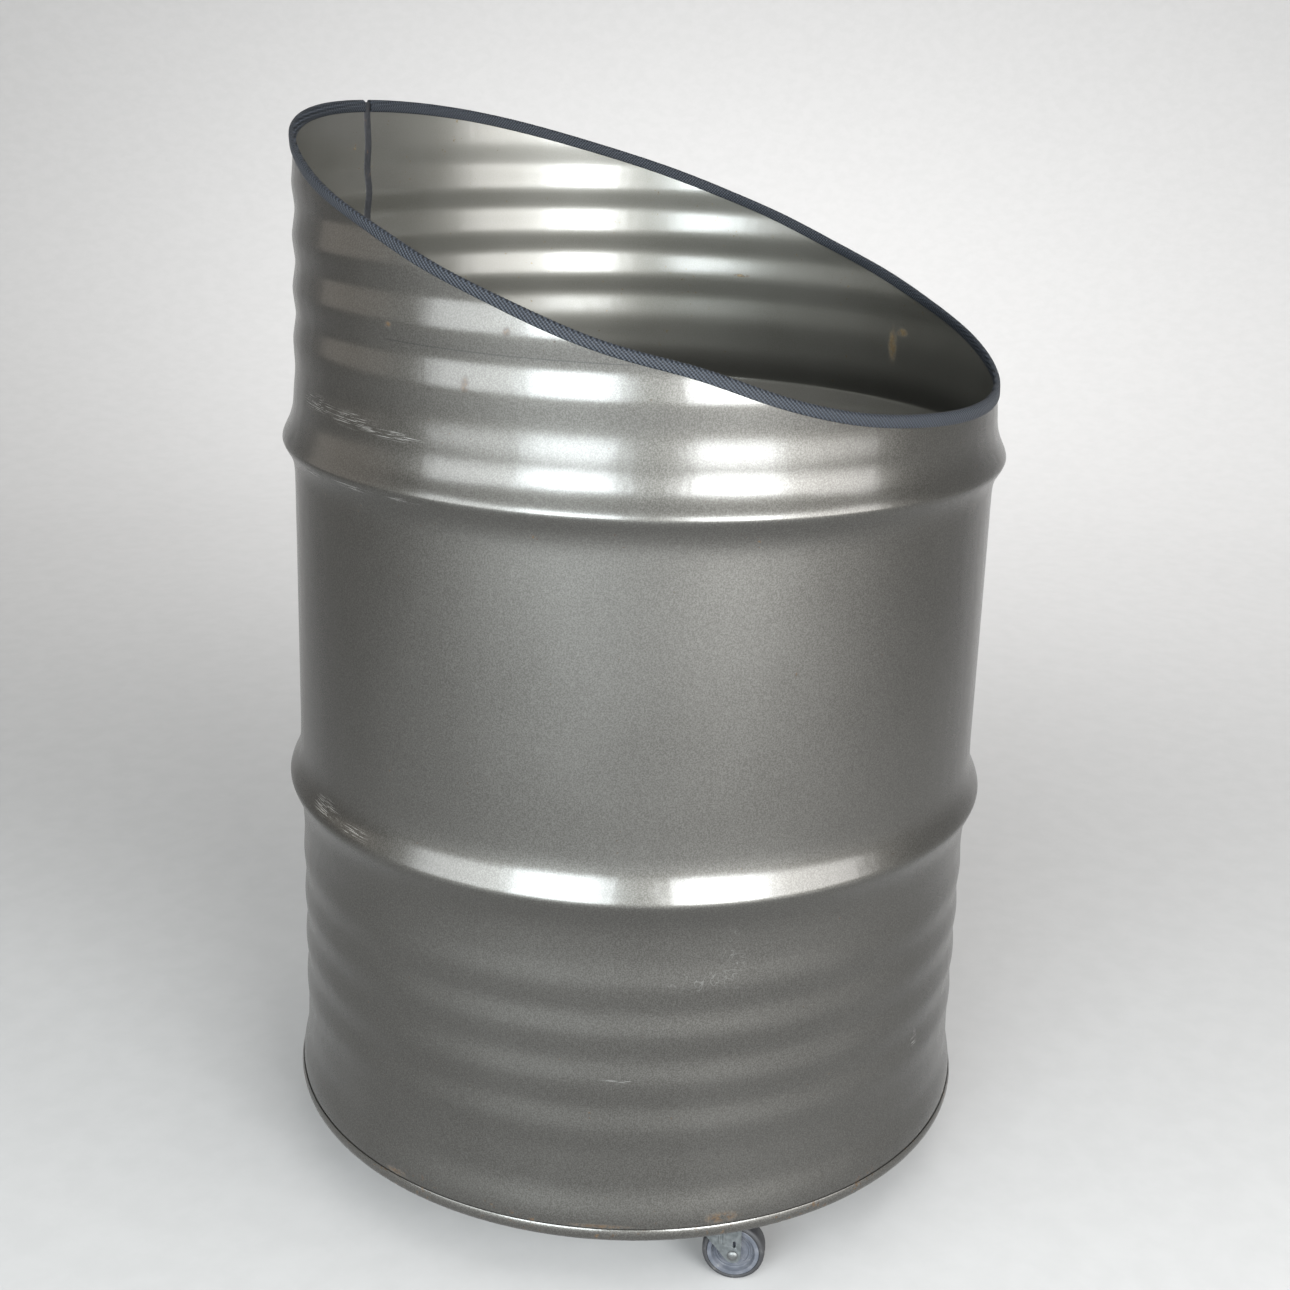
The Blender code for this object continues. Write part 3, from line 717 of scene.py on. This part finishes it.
class Look:
    """One node material, built up call by call."""

    def __init__(self, name):
        self.material = bpy.data.materials.new(name)
        self.material.use_nodes = True
        self.tree = self.material.node_tree
        self.shader = self.tree.nodes["Principled BSDF"]
        self.place = self.node("ShaderNodeTexCoord").outputs["Object"]

    def node(self, kind, values=None, **settings):
        made = self.tree.nodes.new(kind)
        for key, value in settings.items():
            setattr(made, key, value)
        for key, value in (values or {}).items():
            self.put(made.inputs[key], value)
        return made

    def put(self, socket, value):
        if isinstance(value, bpy.types.NodeSocket):
            self.tree.links.new(value, socket)
        else:
            socket.default_value = value

    def set(self, **values):
        for key, value in values.items():
            self.put(self.shader.inputs[key.replace("_", " ")], value)

    def stretched(self, x, y, z):
        return self.node("ShaderNodeMapping", {"Vector": self.place, "Scale": (x, y, z)}).outputs[0]

    def noise(self, scale, detail=2.0, roughness=0.5, vector=None, distortion=0.0):
        values = {"Vector": vector or self.place, "Scale": scale, "Detail": detail}
        values |= {"Roughness": roughness, "Distortion": distortion}
        return self.node("ShaderNodeTexNoise", values).outputs["Fac"]

    def range(self, value, low, high, to_low=0.0, to_high=1.0):
        values = {"Value": value, "From Min": low, "From Max": high, "To Min": to_low, "To Max": to_high}
        return self.node("ShaderNodeMapRange", values, interpolation_type="SMOOTHSTEP").outputs[0]

    def math(self, operation, first, second=0.0):
        return self.node("ShaderNodeMath", {0: first, 1: second}, operation=operation).outputs[0]

    def mix(self, share, first, second):
        made = self.node("ShaderNodeMix", data_type="RGBA")
        for index, value in ((0, share), (6, first), (7, second)):
            self.put(made.inputs[index], value)
        return made.outputs[2]

    def bump(self, height, strength, distance, normal=None):
        values = {"Height": height, "Strength": strength, "Distance": distance}
        if normal is not None:
            values["Normal"] = normal
        return self.node("ShaderNodeBump", values).outputs[0]

    def around(self):
        """(angle u, height z) from the object's own coordinates."""
        split = self.node("ShaderNodeSeparateXYZ", {0: self.place})
        back = self.math("MULTIPLY", split.outputs["Y"], -1.0)
        return self.math("ARCTAN2", split.outputs["X"], back), split.outputs["Z"]


def colour(red, green, blue):
    """An RGBA value from three linear shares."""
    return (red, green, blue, 1.0)


GRAIN_TONE = colour(0.150, 0.146, 0.136)
RUBBED_TONE = colour(0.30, 0.30, 0.29)
BARE_TONE = colour(0.62, 0.62, 0.60)
LINE_TONE = colour(0.03, 0.03, 0.03)
SPECULAR_TINT = colour(0.26, 0.24, 0.20)
COAT_IOR = 1.6
DARK_RUST = (colour(0.015, 0.008, 0.005), colour(0.060, 0.033, 0.011))
PALE_RUST = (colour(0.060, 0.036, 0.014), colour(0.150, 0.105, 0.045))

# Marks on the wall: angle u in degrees, height z, half length and half height in metres.
RUST_MARKS = (
    (-87.8, 0.716, 0.0035, 0.0060),
    (-101.6, 0.750, 0.0040, 0.0025),
    (-81.5, 0.755, 0.0030, 0.0030),
    (-100.2, 0.0775, 0.0120, 0.0030),
    (-65.3, 0.0765, 0.0260, 0.0018),
    (-46.8, 0.0800, 0.0160, 0.0050),
)
INNER_RUST_MARKS = (
    (65.8, 0.687, 0.0060, 0.0170),
    (63.5, 0.700, 0.0080, 0.0040),
    (100.0, 0.735, 0.0080, 0.0016),
)
SCUFF_MARKS = (
    (-121.0, 0.6780, 0.0300, 0.0070),
    (-110.0, 0.6755, 0.0300, 0.0060),
    (-101.0, 0.6720, 0.0300, 0.0035),
    (-120.0, 0.6280, 0.0160, 0.0030),
    (-108.0, 0.6290, 0.0260, 0.0022),
    (-97.0, 0.6290, 0.0160, 0.0018),
    (-118.0, 0.3590, 0.0220, 0.0080),
    (-109.0, 0.3560, 0.0180, 0.0050),
    (-62.0, 0.1995, 0.0200, 0.0012),
    (-7.1, 0.1700, 0.0050, 0.0090),
)
RUBBED_MARKS = ((-46.5, 0.3020, 0.0110, 0.0260), (-51.0, 0.2800, 0.0330, 0.0100))

# A thin dark line: from and to angle u in degrees, height z at its start, rise for each radian.
DARK_LINE = (-102.0, -64.0, 0.7392, -0.0026)
DARK_LINE_HALF = 0.0004


def marks(look, places):
    """Mask of soft-edged patches at places on the wall."""
    u, z = look.around()
    along = look.math("MULTIPLY", u, BODY_RADIUS)
    point = look.node("ShaderNodeCombineXYZ", {"X": along, "Y": z}).outputs[0]
    total = None
    for degrees, height, half_length, half_height in places:
        centre = (math.radians(degrees) * BODY_RADIUS, height, 0.0)
        shift = look.node("ShaderNodeVectorMath", {0: point, 1: centre}, operation="SUBTRACT").outputs[0]
        scale = (1.0 / half_length, 1.0 / half_height, 1.0)
        spread = look.node("ShaderNodeVectorMath", {0: shift, 1: scale}, operation="MULTIPLY").outputs[0]
        reach = look.node("ShaderNodeVectorMath", {0: spread}, operation="LENGTH").outputs["Value"]
        mask = look.range(reach, 1.25, 0.35)
        total = mask if total is None else look.math("MAXIMUM", total, mask)
    return total


def band(look, z, low, high, soft):
    """Mask of a level band on the wall."""
    rising = look.range(z, low - soft, low + soft)
    falling = look.range(z, high + soft, high - soft)
    return look.math("MULTIPLY", rising, falling)


def rust_mask(look, z, level, places):
    """Specks all over, more of them at the chime and under the upper hoop, and patches at places."""
    seamed = band(look, z, CHIME_BOTTOM - 0.002, CHIME_BOTTOM + 0.020, 0.004)
    under_hoop = band(look, z, CHIME_BOTTOM + 0.546, CHIME_BOTTOM + 0.556, 0.004)
    fleck = look.noise(230.0, 3.0, 0.62)
    sparse = look.noise(26.0, 2.0, 0.5)
    zone = look.math("MAXIMUM", seamed, look.math("MULTIPLY", under_hoop, 0.6))
    limit = look.math("SUBTRACT", level, look.math("MULTIPLY", zone, 0.10))
    speck = look.math("MULTIPLY", fleck, look.range(sparse, 0.42, 0.62, 0.75, 1.0))
    specks = look.range(look.math("SUBTRACT", speck, limit), 0.0, 0.035)
    patches = look.math("MULTIPLY", marks(look, places), look.range(fleck, 0.36, 0.50))
    return look.math("MAXIMUM", specks, patches)


def scuffed(look, tone, places):
    """Add criss-cross rubbing and, at places, fine bright scratches that run round the drum."""
    cross = look.math("SUBTRACT", look.noise(95.0, 1.0, 0.5, None, 0.8), 0.5)
    cross = look.range(look.math("ABSOLUTE", cross), 0.018, 0.004)
    rubbed = look.math("MULTIPLY", cross, marks(look, RUBBED_MARKS))
    tone = look.mix(look.math("MULTIPLY", rubbed, 0.28), tone, RUBBED_TONE)
    scratch = look.noise(1.0, 2.0, 0.6, look.stretched(44.0, 44.0, 1700.0), 0.35)
    bare = look.math("MULTIPLY", look.range(scratch, 0.555, 0.60), marks(look, places))
    return look.mix(look.math("MULTIPLY", bare, 0.72), tone, BARE_TONE)


def lined(look, tone, line):
    """Add the thin dark line."""
    start, end, height, rise = line
    u, z = look.around()
    turned = look.math("SUBTRACT", u, math.radians(start))
    level = look.math("SUBTRACT", z, look.math("MULTIPLY", turned, rise))
    thin = band(look, level, height - DARK_LINE_HALF, height + DARK_LINE_HALF, 0.0003)
    part = band(look, u, math.radians(start), math.radians(end), 0.02)
    mask = look.math("MULTIPLY", look.math("MULTIPLY", thin, part), 0.55)
    return look.mix(mask, tone, LINE_TONE)


def steel_look(name, tones, roughness, metallic, coat, rust_marks, scuff_places=(), line=()):
    """Lacquered cold-rolled steel with cloudy tone, fine grain, scuffs and rust specks.

    tones is (light, dark), coat is (weight, roughness) and rust_marks is (level above which a
    speck shows, two tones of rust, places of the patches).
    """
    look = Look(name)
    light, dark = tones
    rust_level, rust_tones, rust_places = rust_marks
    cloud = look.range(look.noise(5.0, 3.0, 0.55), 0.30, 0.72)
    streak = look.noise(1.0, 3.0, 0.6, look.stretched(9.0, 9.0, 260.0))
    grain = look.noise(900.0, 2.0, 0.7)
    tone = look.mix(cloud, dark, light)
    tone = look.mix(look.range(streak, 0.35, 0.75, 0.0, 0.12), tone, light)
    tone = look.mix(look.range(grain, 0.34, 0.70, 0.0, 0.52), tone, GRAIN_TONE)
    rust = rust_mask(look, look.around()[1], rust_level, rust_places)
    rust_tone = look.mix(look.range(look.noise(500.0), 0.3, 0.7), *rust_tones)
    tone = look.mix(look.math("MULTIPLY", rust, 0.85), tone, rust_tone)
    if scuff_places:
        tone = scuffed(look, tone, scuff_places)
    if line:
        tone = lined(look, tone, line)
    look.set(Base_Color=tone, Metallic=look.range(rust, 0.0, 1.0, metallic, 0.0))
    rough = look.range(cloud, 0.0, 1.0, roughness - 0.02, roughness + 0.03)
    rough = look.math("ADD", rough, look.range(streak, 0.3, 0.8, -0.01, 0.01))
    look.set(Roughness=look.math("ADD", rough, look.math("MULTIPLY", rust, 0.5)))
    coat_weight, coat_roughness = coat
    look.set(Coat_Weight=coat_weight, Coat_Roughness=coat_roughness, Coat_IOR=COAT_IOR)
    look.set(Specular_Tint=SPECULAR_TINT)
    fine = look.bump(grain, 0.10, 0.0002)
    look.set(Normal=look.bump(look.noise(60.0, 2.0), 0.04, 0.0008, fine))
    ripple = look.noise(1.0, 3.0, 0.55, look.stretched(26.0, 26.0, 9.0))
    look.set(Coat_Normal=look.bump(ripple, 0.16, 0.004, look.bump(grain, 0.06, 0.0002)))
    return look.material


def trim_look():
    """Dark blue-grey moulded trim with a diagonal woven grain."""
    look = Look("trim_grain")
    u, z = look.around()
    along = look.math("MULTIPLY", u, BODY_RADIUS * 2.0 * math.pi / WEAVE_ALONG)
    rise = look.math("MULTIPLY", z, 2.0 * math.pi / WEAVE_UP)
    first = look.math("SINE", look.math("ADD", along, rise))
    second = look.math("SINE", look.math("SUBTRACT", along, look.math("MULTIPLY", rise, 1.4)))
    weave = look.math("ADD", first, look.math("MULTIPLY", second, 0.6))
    fibre = look.noise(1300.0, 3.0, 0.7)
    wear = look.range(look.noise(40.0, 3.0, 0.6), 0.45, 0.75)
    tone = look.mix(look.range(weave, -0.8, 1.0), colour(0.004, 0.005, 0.007), colour(0.037, 0.043, 0.054))
    tone = look.mix(look.range(fibre, 0.35, 0.75, 0.0, 0.30), tone, colour(0.040, 0.045, 0.053))
    tone = look.mix(look.math("MULTIPLY", wear, 0.15), tone, colour(0.030, 0.032, 0.035))
    rough = look.range(fibre, 0.3, 0.8, 0.42, 0.60)
    look.set(Base_Color=tone, Roughness=rough, Specular_IOR_Level=0.22)
    coarse = look.bump(weave, 0.60, 0.0004)
    look.set(Normal=look.bump(fibre, 0.25, 0.0002, coarse))
    return look.material


def seam_look():
    """Dark oxide of the side weld."""
    look = Look("weld_oxide")
    scale = look.noise(1.0, 3.0, 0.6, look.stretched(300.0, 300.0, 520.0))
    spotted = look.noise(160.0, 3.0, 0.6)
    tone = look.mix(look.range(scale, 0.3, 0.7), colour(0.010, 0.011, 0.013), colour(0.024, 0.025, 0.029))
    tone = look.mix(look.range(spotted, 0.62, 0.72, 0.0, 0.6), tone, colour(0.10, 0.055, 0.03))
    look.set(Base_Color=tone, Metallic=0.0, Roughness=look.range(scale, 0.3, 0.7, 0.50, 0.66))
    look.set(Normal=look.bump(scale, 0.3, 0.0004))
    return look.material


def zinc_look(name, light, dark, roughness):
    """Zinc-plated steel with a faint mottle, fine scratches and a little grime."""
    look = Look(name)
    mottle = look.noise(260.0, 3.0, 0.6)
    dirt = look.noise(70.0, 4.0, 0.65)
    scratch = look.noise(1.0, 4.0, 0.7, look.stretched(260.0, 2400.0, 700.0))
    tone = look.mix(look.range(mottle, 0.3, 0.7), dark, light)
    tone = look.mix(look.range(scratch, 0.60, 0.72, 0.0, 0.35), tone, colour(0.75, 0.76, 0.77))
    tone = look.mix(look.range(dirt, 0.58, 0.74, 0.0, 0.45), tone, colour(0.13, 0.115, 0.09))
    look.set(Base_Color=tone, Metallic=0.9)
    rough = look.range(mottle, 0.3, 0.75, roughness - 0.05, roughness + 0.10)
    look.set(Roughness=look.math("ADD", rough, look.range(dirt, 0.58, 0.74, 0.0, 0.15)))
    look.set(Normal=look.bump(scratch, 0.08, 0.0002, look.bump(mottle, 0.12, 0.0002)))
    return look.material


def moulded_look(name, light, dark, roughness, dust):
    """Moulded plastic or rubber with a matt grain, scuffs and floor dust."""
    look = Look(name)
    grain = look.noise(1500.0, 2.0, 0.6)
    patch = look.noise(110.0, 4.0, 0.6)
    rub = look.noise(1.0, 3.0, 0.7, look.stretched(500.0, 500.0, 90.0))
    tone = look.mix(look.range(patch, 0.3, 0.7), dark, light)
    tone = look.mix(look.range(grain, 0.45, 0.75, 0.0, 0.15), tone, colour(0.02, 0.02, 0.022))
    dusty = look.math("MULTIPLY", look.range(patch, 0.50, 0.72), look.range(rub, 0.42, 0.66))
    tone = look.mix(look.math("MULTIPLY", dusty, dust), tone, colour(0.42, 0.40, 0.36))
    look.set(Base_Color=tone, Roughness=look.range(patch, 0.3, 0.7, roughness - 0.06, roughness + 0.10))
    look.set(Normal=look.bump(rub, 0.10, 0.0002, look.bump(grain, 0.15, 0.00015)))
    return look.material


def floor_look():
    """Pale matt studio floor."""
    look = Look("studio_floor")
    paper = look.noise(30.0, 4.0, 0.6)
    tone = look.mix(look.range(paper, 0.3, 0.7), colour(0.408, 0.404, 0.402), colour(0.424, 0.420, 0.418))
    look.set(Base_Color=tone, Roughness=0.85, Specular_IOR_Level=0.2)
    return look.material


# Assembly

def build_drum():
    """Wall, bottom, trim and side weld."""
    outside = steel_look(
        "steel_outside", (colour(0.060, 0.057, 0.051), colour(0.046, 0.043, 0.037)), 0.45, 1.0,
        (0.95, 0.215), (0.69, DARK_RUST, RUST_MARKS), SCUFF_MARKS, DARK_LINE,
    )
    # The inside is a lighter, partly diffuse copy of the same steel: its extra brightness is painted light
    # that lifts the shade inside the drum.
    inside = steel_look(
        "steel_inside_painted_light", (colour(0.142, 0.140, 0.125), colour(0.108, 0.105, 0.090)), 0.46, 0.75,
        (1.0, 0.25), (0.66, PALE_RUST, INNER_RUST_MARKS),
    )
    under = steel_look(
        "steel_head", (colour(0.066, 0.062, 0.056), colour(0.048, 0.045, 0.040)), 0.42, 0.85,
        (0.85, 0.18), (0.66, DARK_RUST, RUST_MARKS[3:]),
    )
    weld = seam_look()
    inner_weld = seam_mesh("weld_inside", -1.0, *INNER_WELD)
    outer_weld = seam_mesh("weld_outside", 1.0, *OUTER_WELD)
    piece("steel_wall", wall_mesh(), [outside, inside], "drum", ["drum_body"])
    piece("bottom_head", head_mesh(), [under], "drum", ["drum_bottom"])
    piece("edge_trim", trim_mesh(), [trim_look()], "drum", ["rim_trim"])
    piece("weld_inside", inner_weld, [weld], "drum", None)
    piece("weld_outside", outer_weld, [outside], "drum", None)


def numbered(kind):
    """The CAD's names, after the corner's, of a castor's four bolts or nuts."""
    return [f"{kind}_{k}" for k in range(1, 5)]


def build_castors():
    """Four castors with their fasteners, from one set of meshes."""
    zinc = zinc_look("zinc_sheet", colour(0.20, 0.215, 0.22), colour(0.14, 0.155, 0.16), 0.42)
    bright = zinc_look("rivet_zinc", colour(0.17, 0.175, 0.175), colour(0.12, 0.125, 0.125), 0.46)
    fastener = zinc_look("fastener_zinc", colour(0.26, 0.265, 0.27), colour(0.18, 0.185, 0.19), 0.36)
    plastic = moulded_look(
        "hub_plastic", colour(0.078, 0.084, 0.100), colour(0.052, 0.058, 0.072), 0.46, 0.14
    )
    rubber = moulded_look(
        "tyre_rubber", colour(0.024, 0.024, 0.026), colour(0.014, 0.014, 0.016), 0.62, 0.10
    )
    half = PLATE_HOLES / 2.0
    holes = ((half, half), (-half, half), (-half, -half), (half, -half))
    spots = [Matrix.Translation((x, y, 0.0)) for x, y in holes]
    fixed_meshes = {
        "plate": (plate_mesh(), zinc, "zinc_sheet", ["plate"]),
        "kingpin": (kingpin_mesh(), bright, "rivet_steel", ["kingpin"]),
        "bolts": (gathered("bolts", bolt_mesh(), spots), fastener, "fasteners", numbered("bolt")),
        "nuts": (gathered("nuts", nut_mesh(), spots), fastener, "fasteners", numbered("nut")),
    }
    fork, axle, hub, tyre = fork_mesh(), axle_mesh(), hub_mesh(), tyre_mesh()
    to_axle = Matrix.Translation((TRAIL, 0.0, WHEEL_RADIUS)) @ Matrix.Rotation(math.pi / 2.0, 4, "X")
    for corner, degrees in CORNERS.items():
        azimuth = math.radians(degrees)
        centre = (CASTOR_CIRCLE * math.cos(azimuth), CASTOR_CIRCLE * math.sin(azimuth), 0.0)
        spot = Matrix.Translation(centre)
        fixed = spot @ Matrix.Rotation(azimuth, 4, "Z")
        for kind, (mesh, material, slot, nodes) in fixed_meshes.items():
            replaced = [f"{corner}_{node}" for node in nodes]
            piece(f"{corner}_castor_{kind}", mesh, [material], "drum", replaced, fixed)
        swivel = spot @ Matrix.Rotation(CASTOR_HEADING, 4, "Z")
        turned = swivel @ to_axle
        castor, wheel = corner + "_castor", corner + "_wheel"
        piece(castor + "_fork", fork, [zinc], castor, [corner + "_fork"], swivel)
        piece(castor + "_axle", axle, [bright], castor, [corner + "_axle"], turned)
        piece(wheel + "_centre", hub, [plastic], wheel, [corner + "_hub"], turned)
        piece(wheel + "_tyre", tyre, [rubber], wheel, [corner + "_tyre"], turned)


# Studio

CAMERA_AZIMUTH = math.radians(-90.0 - 61.96)
CAMERA_DISTANCE = 1.456845
CAMERA_HEIGHT = 0.871084
CAMERA_YAW = 0.0159337
CAMERA_PITCH = 0.279879
CAMERA_ROLL = 0.0346885
CAMERA_LENS = 49.6666
CAMERA_SHIFT = (-0.01863, -0.05921)


def build_camera():
    """The camera at the photographed angle."""
    turn = Matrix.Rotation(CAMERA_AZIMUTH + math.pi / 2.0, 3, "Z")
    place = turn @ Vector((0.0, -CAMERA_DISTANCE, CAMERA_HEIGHT)) + Vector((0.0, 0.0, CHIME_BOTTOM))
    forward = Vector((
        math.sin(CAMERA_YAW) * math.cos(CAMERA_PITCH),
        math.cos(CAMERA_YAW) * math.cos(CAMERA_PITCH),
        -math.sin(CAMERA_PITCH),
    ))
    right = Vector((math.cos(CAMERA_YAW), -math.sin(CAMERA_YAW), 0.0))
    up = right.cross(forward)
    rolled_right = math.cos(CAMERA_ROLL) * right + math.sin(CAMERA_ROLL) * up
    rolled_up = -math.sin(CAMERA_ROLL) * right + math.cos(CAMERA_ROLL) * up
    axes = Matrix((turn @ rolled_right, turn @ rolled_up, turn @ -forward)).transposed()
    data = bpy.data.cameras.new("camera")
    data.sensor_width = 36.0
    data.lens = CAMERA_LENS
    data.shift_x, data.shift_y = CAMERA_SHIFT
    data.clip_start = 0.05
    data.clip_end = 60.0
    camera = bpy.data.objects.new("camera", data)
    camera.matrix_world = Matrix.Translation(place) @ axes.to_4x4()
    bpy.context.scene.collection.objects.link(camera)
    bpy.context.scene.camera = camera


def facing_camera(degrees, elevation, distance, centre):
    """A point seen from a centre at an angle from the camera (positive is to its right)."""
    azimuth = CAMERA_AZIMUTH + math.radians(degrees)
    lift = math.radians(elevation)
    level = math.cos(lift)
    return centre + distance * Vector((math.cos(azimuth) * level, math.sin(azimuth) * level, math.sin(lift)))


def soft_light(name, place, target, width, height, radiance, shows_in_metal, tint, spread=180.0):
    """A large soft light that faces a target."""
    data = bpy.data.lights.new(name, "AREA")
    data.shape = "RECTANGLE"
    data.size = width
    data.size_y = height
    data.energy = radiance * math.pi * width * height
    data.color = tint
    data.spread = math.radians(spread)
    light = bpy.data.objects.new(name, data)
    turn = (place - target).to_track_quat("Z", "Y").to_matrix().to_4x4()
    light.matrix_world = Matrix.Translation(place) @ turn
    light.visible_camera = False
    light.visible_glossy = shows_in_metal
    bpy.context.scene.collection.objects.link(light)


FLOOR_RADIUS = 2.2
BOWL_RADIUS = 3.4
FLOOR_THICKNESS = 0.05
ROOM_COLOUR = (1.0, 0.99, 0.97, 1.0)
ROOM_STRENGTH = 0.42
DRUM_CENTRE = Vector((0.0, 0.0, 0.45))
BOX_DISTANCE = 2.9
BOX_ELEVATION = 13.0

# Upright softboxes round the drum: name, angle from the camera, width, height, radiance, colour.
SOFTBOXES = (
    ("left_box", -21.5, 1.45, 1.25, 19.0, (0.90, 0.97, 1.0)),
    ("right_box", 26.0, 1.40, 1.25, 22.0, (0.96, 0.99, 1.0)),
    ("far_left_box", -53.0, 1.45, 1.25, 6.0, (0.95, 0.99, 1.0)),
    ("far_right_box", 57.0, 1.60, 1.25, 6.5, (1.0, 0.99, 0.97)),
    ("warm_box", -100.0, 1.90, 1.25, 0.6, (1.0, 0.90, 0.79)),
)

# Lights for the floor and backdrop, kept out of reflections: name, then angle from the camera,
# elevation and distance of the light, angle and distance of the spot it lights, width, height,
# radiance, spread.
BACKDROP_LIGHTS = (
    ("front_light", 14.0, 52.0, 2.10, 8.0, 0.65, 1.10, 0.80, 1.6, 110.0),
    ("back_light", 178.0, 58.0, 3.3, 180.0, 4.0, 1.60, 1.20, 9.0, 120.0),
    ("side_light", 130.0, 58.0, 3.3, 145.0, 4.2, 2.20, 1.20, 7.8, 180.0),
)


def build_lights():
    """Softboxes in front of the drum and lights from above for the floor and backdrop."""
    for name, degrees, width, height, radiance, tint in SOFTBOXES:
        place = facing_camera(degrees, BOX_ELEVATION, BOX_DISTANCE, DRUM_CENTRE)
        soft_light(name, place, DRUM_CENTRE, width, height, radiance, True, tint)
    ground = Vector((0.0, 0.0, 0.0))
    for name, degrees, elevation, distance, aim, reach, width, height, radiance, spread in BACKDROP_LIGHTS:
        place = facing_camera(degrees, elevation, distance, ground)
        target = facing_camera(aim, 0.0, reach, ground)
        soft_light(name, place, target, width, height, radiance, False, (1.0, 1.0, 1.0), spread)


def build_studio():
    """Pale floor that curves up all round, soft lights and a dim room."""
    outline = [(0.01, 0.0), (FLOOR_RADIUS, 0.0)]
    outline += arc(FLOOR_RADIUS, BOWL_RADIUS, BOWL_RADIUS, -87, -6, 28)
    far = FLOOR_RADIUS + BOWL_RADIUS + FLOOR_THICKNESS
    outline += [(far, BOWL_RADIUS), (far, -FLOOR_THICKNESS), (0.01, -FLOOR_THICKNESS)]
    floor = bpy.data.objects.new("floor", lathe("floor", outline, 96, closed=False, smooth_angle=40))
    floor.data.materials.append(floor_look())
    bpy.context.scene.collection.objects.link(floor)
    build_lights()
    world = bpy.data.worlds.new("room")
    world.use_nodes = True
    background = world.node_tree.nodes["Background"]
    background.inputs["Color"].default_value = ROOM_COLOUR
    background.inputs["Strength"].default_value = ROOM_STRENGTH
    bpy.context.scene.world = world
    bpy.context.scene.view_settings.view_transform = "Standard"


build_drum()
build_castors()
build_studio()
build_camera()
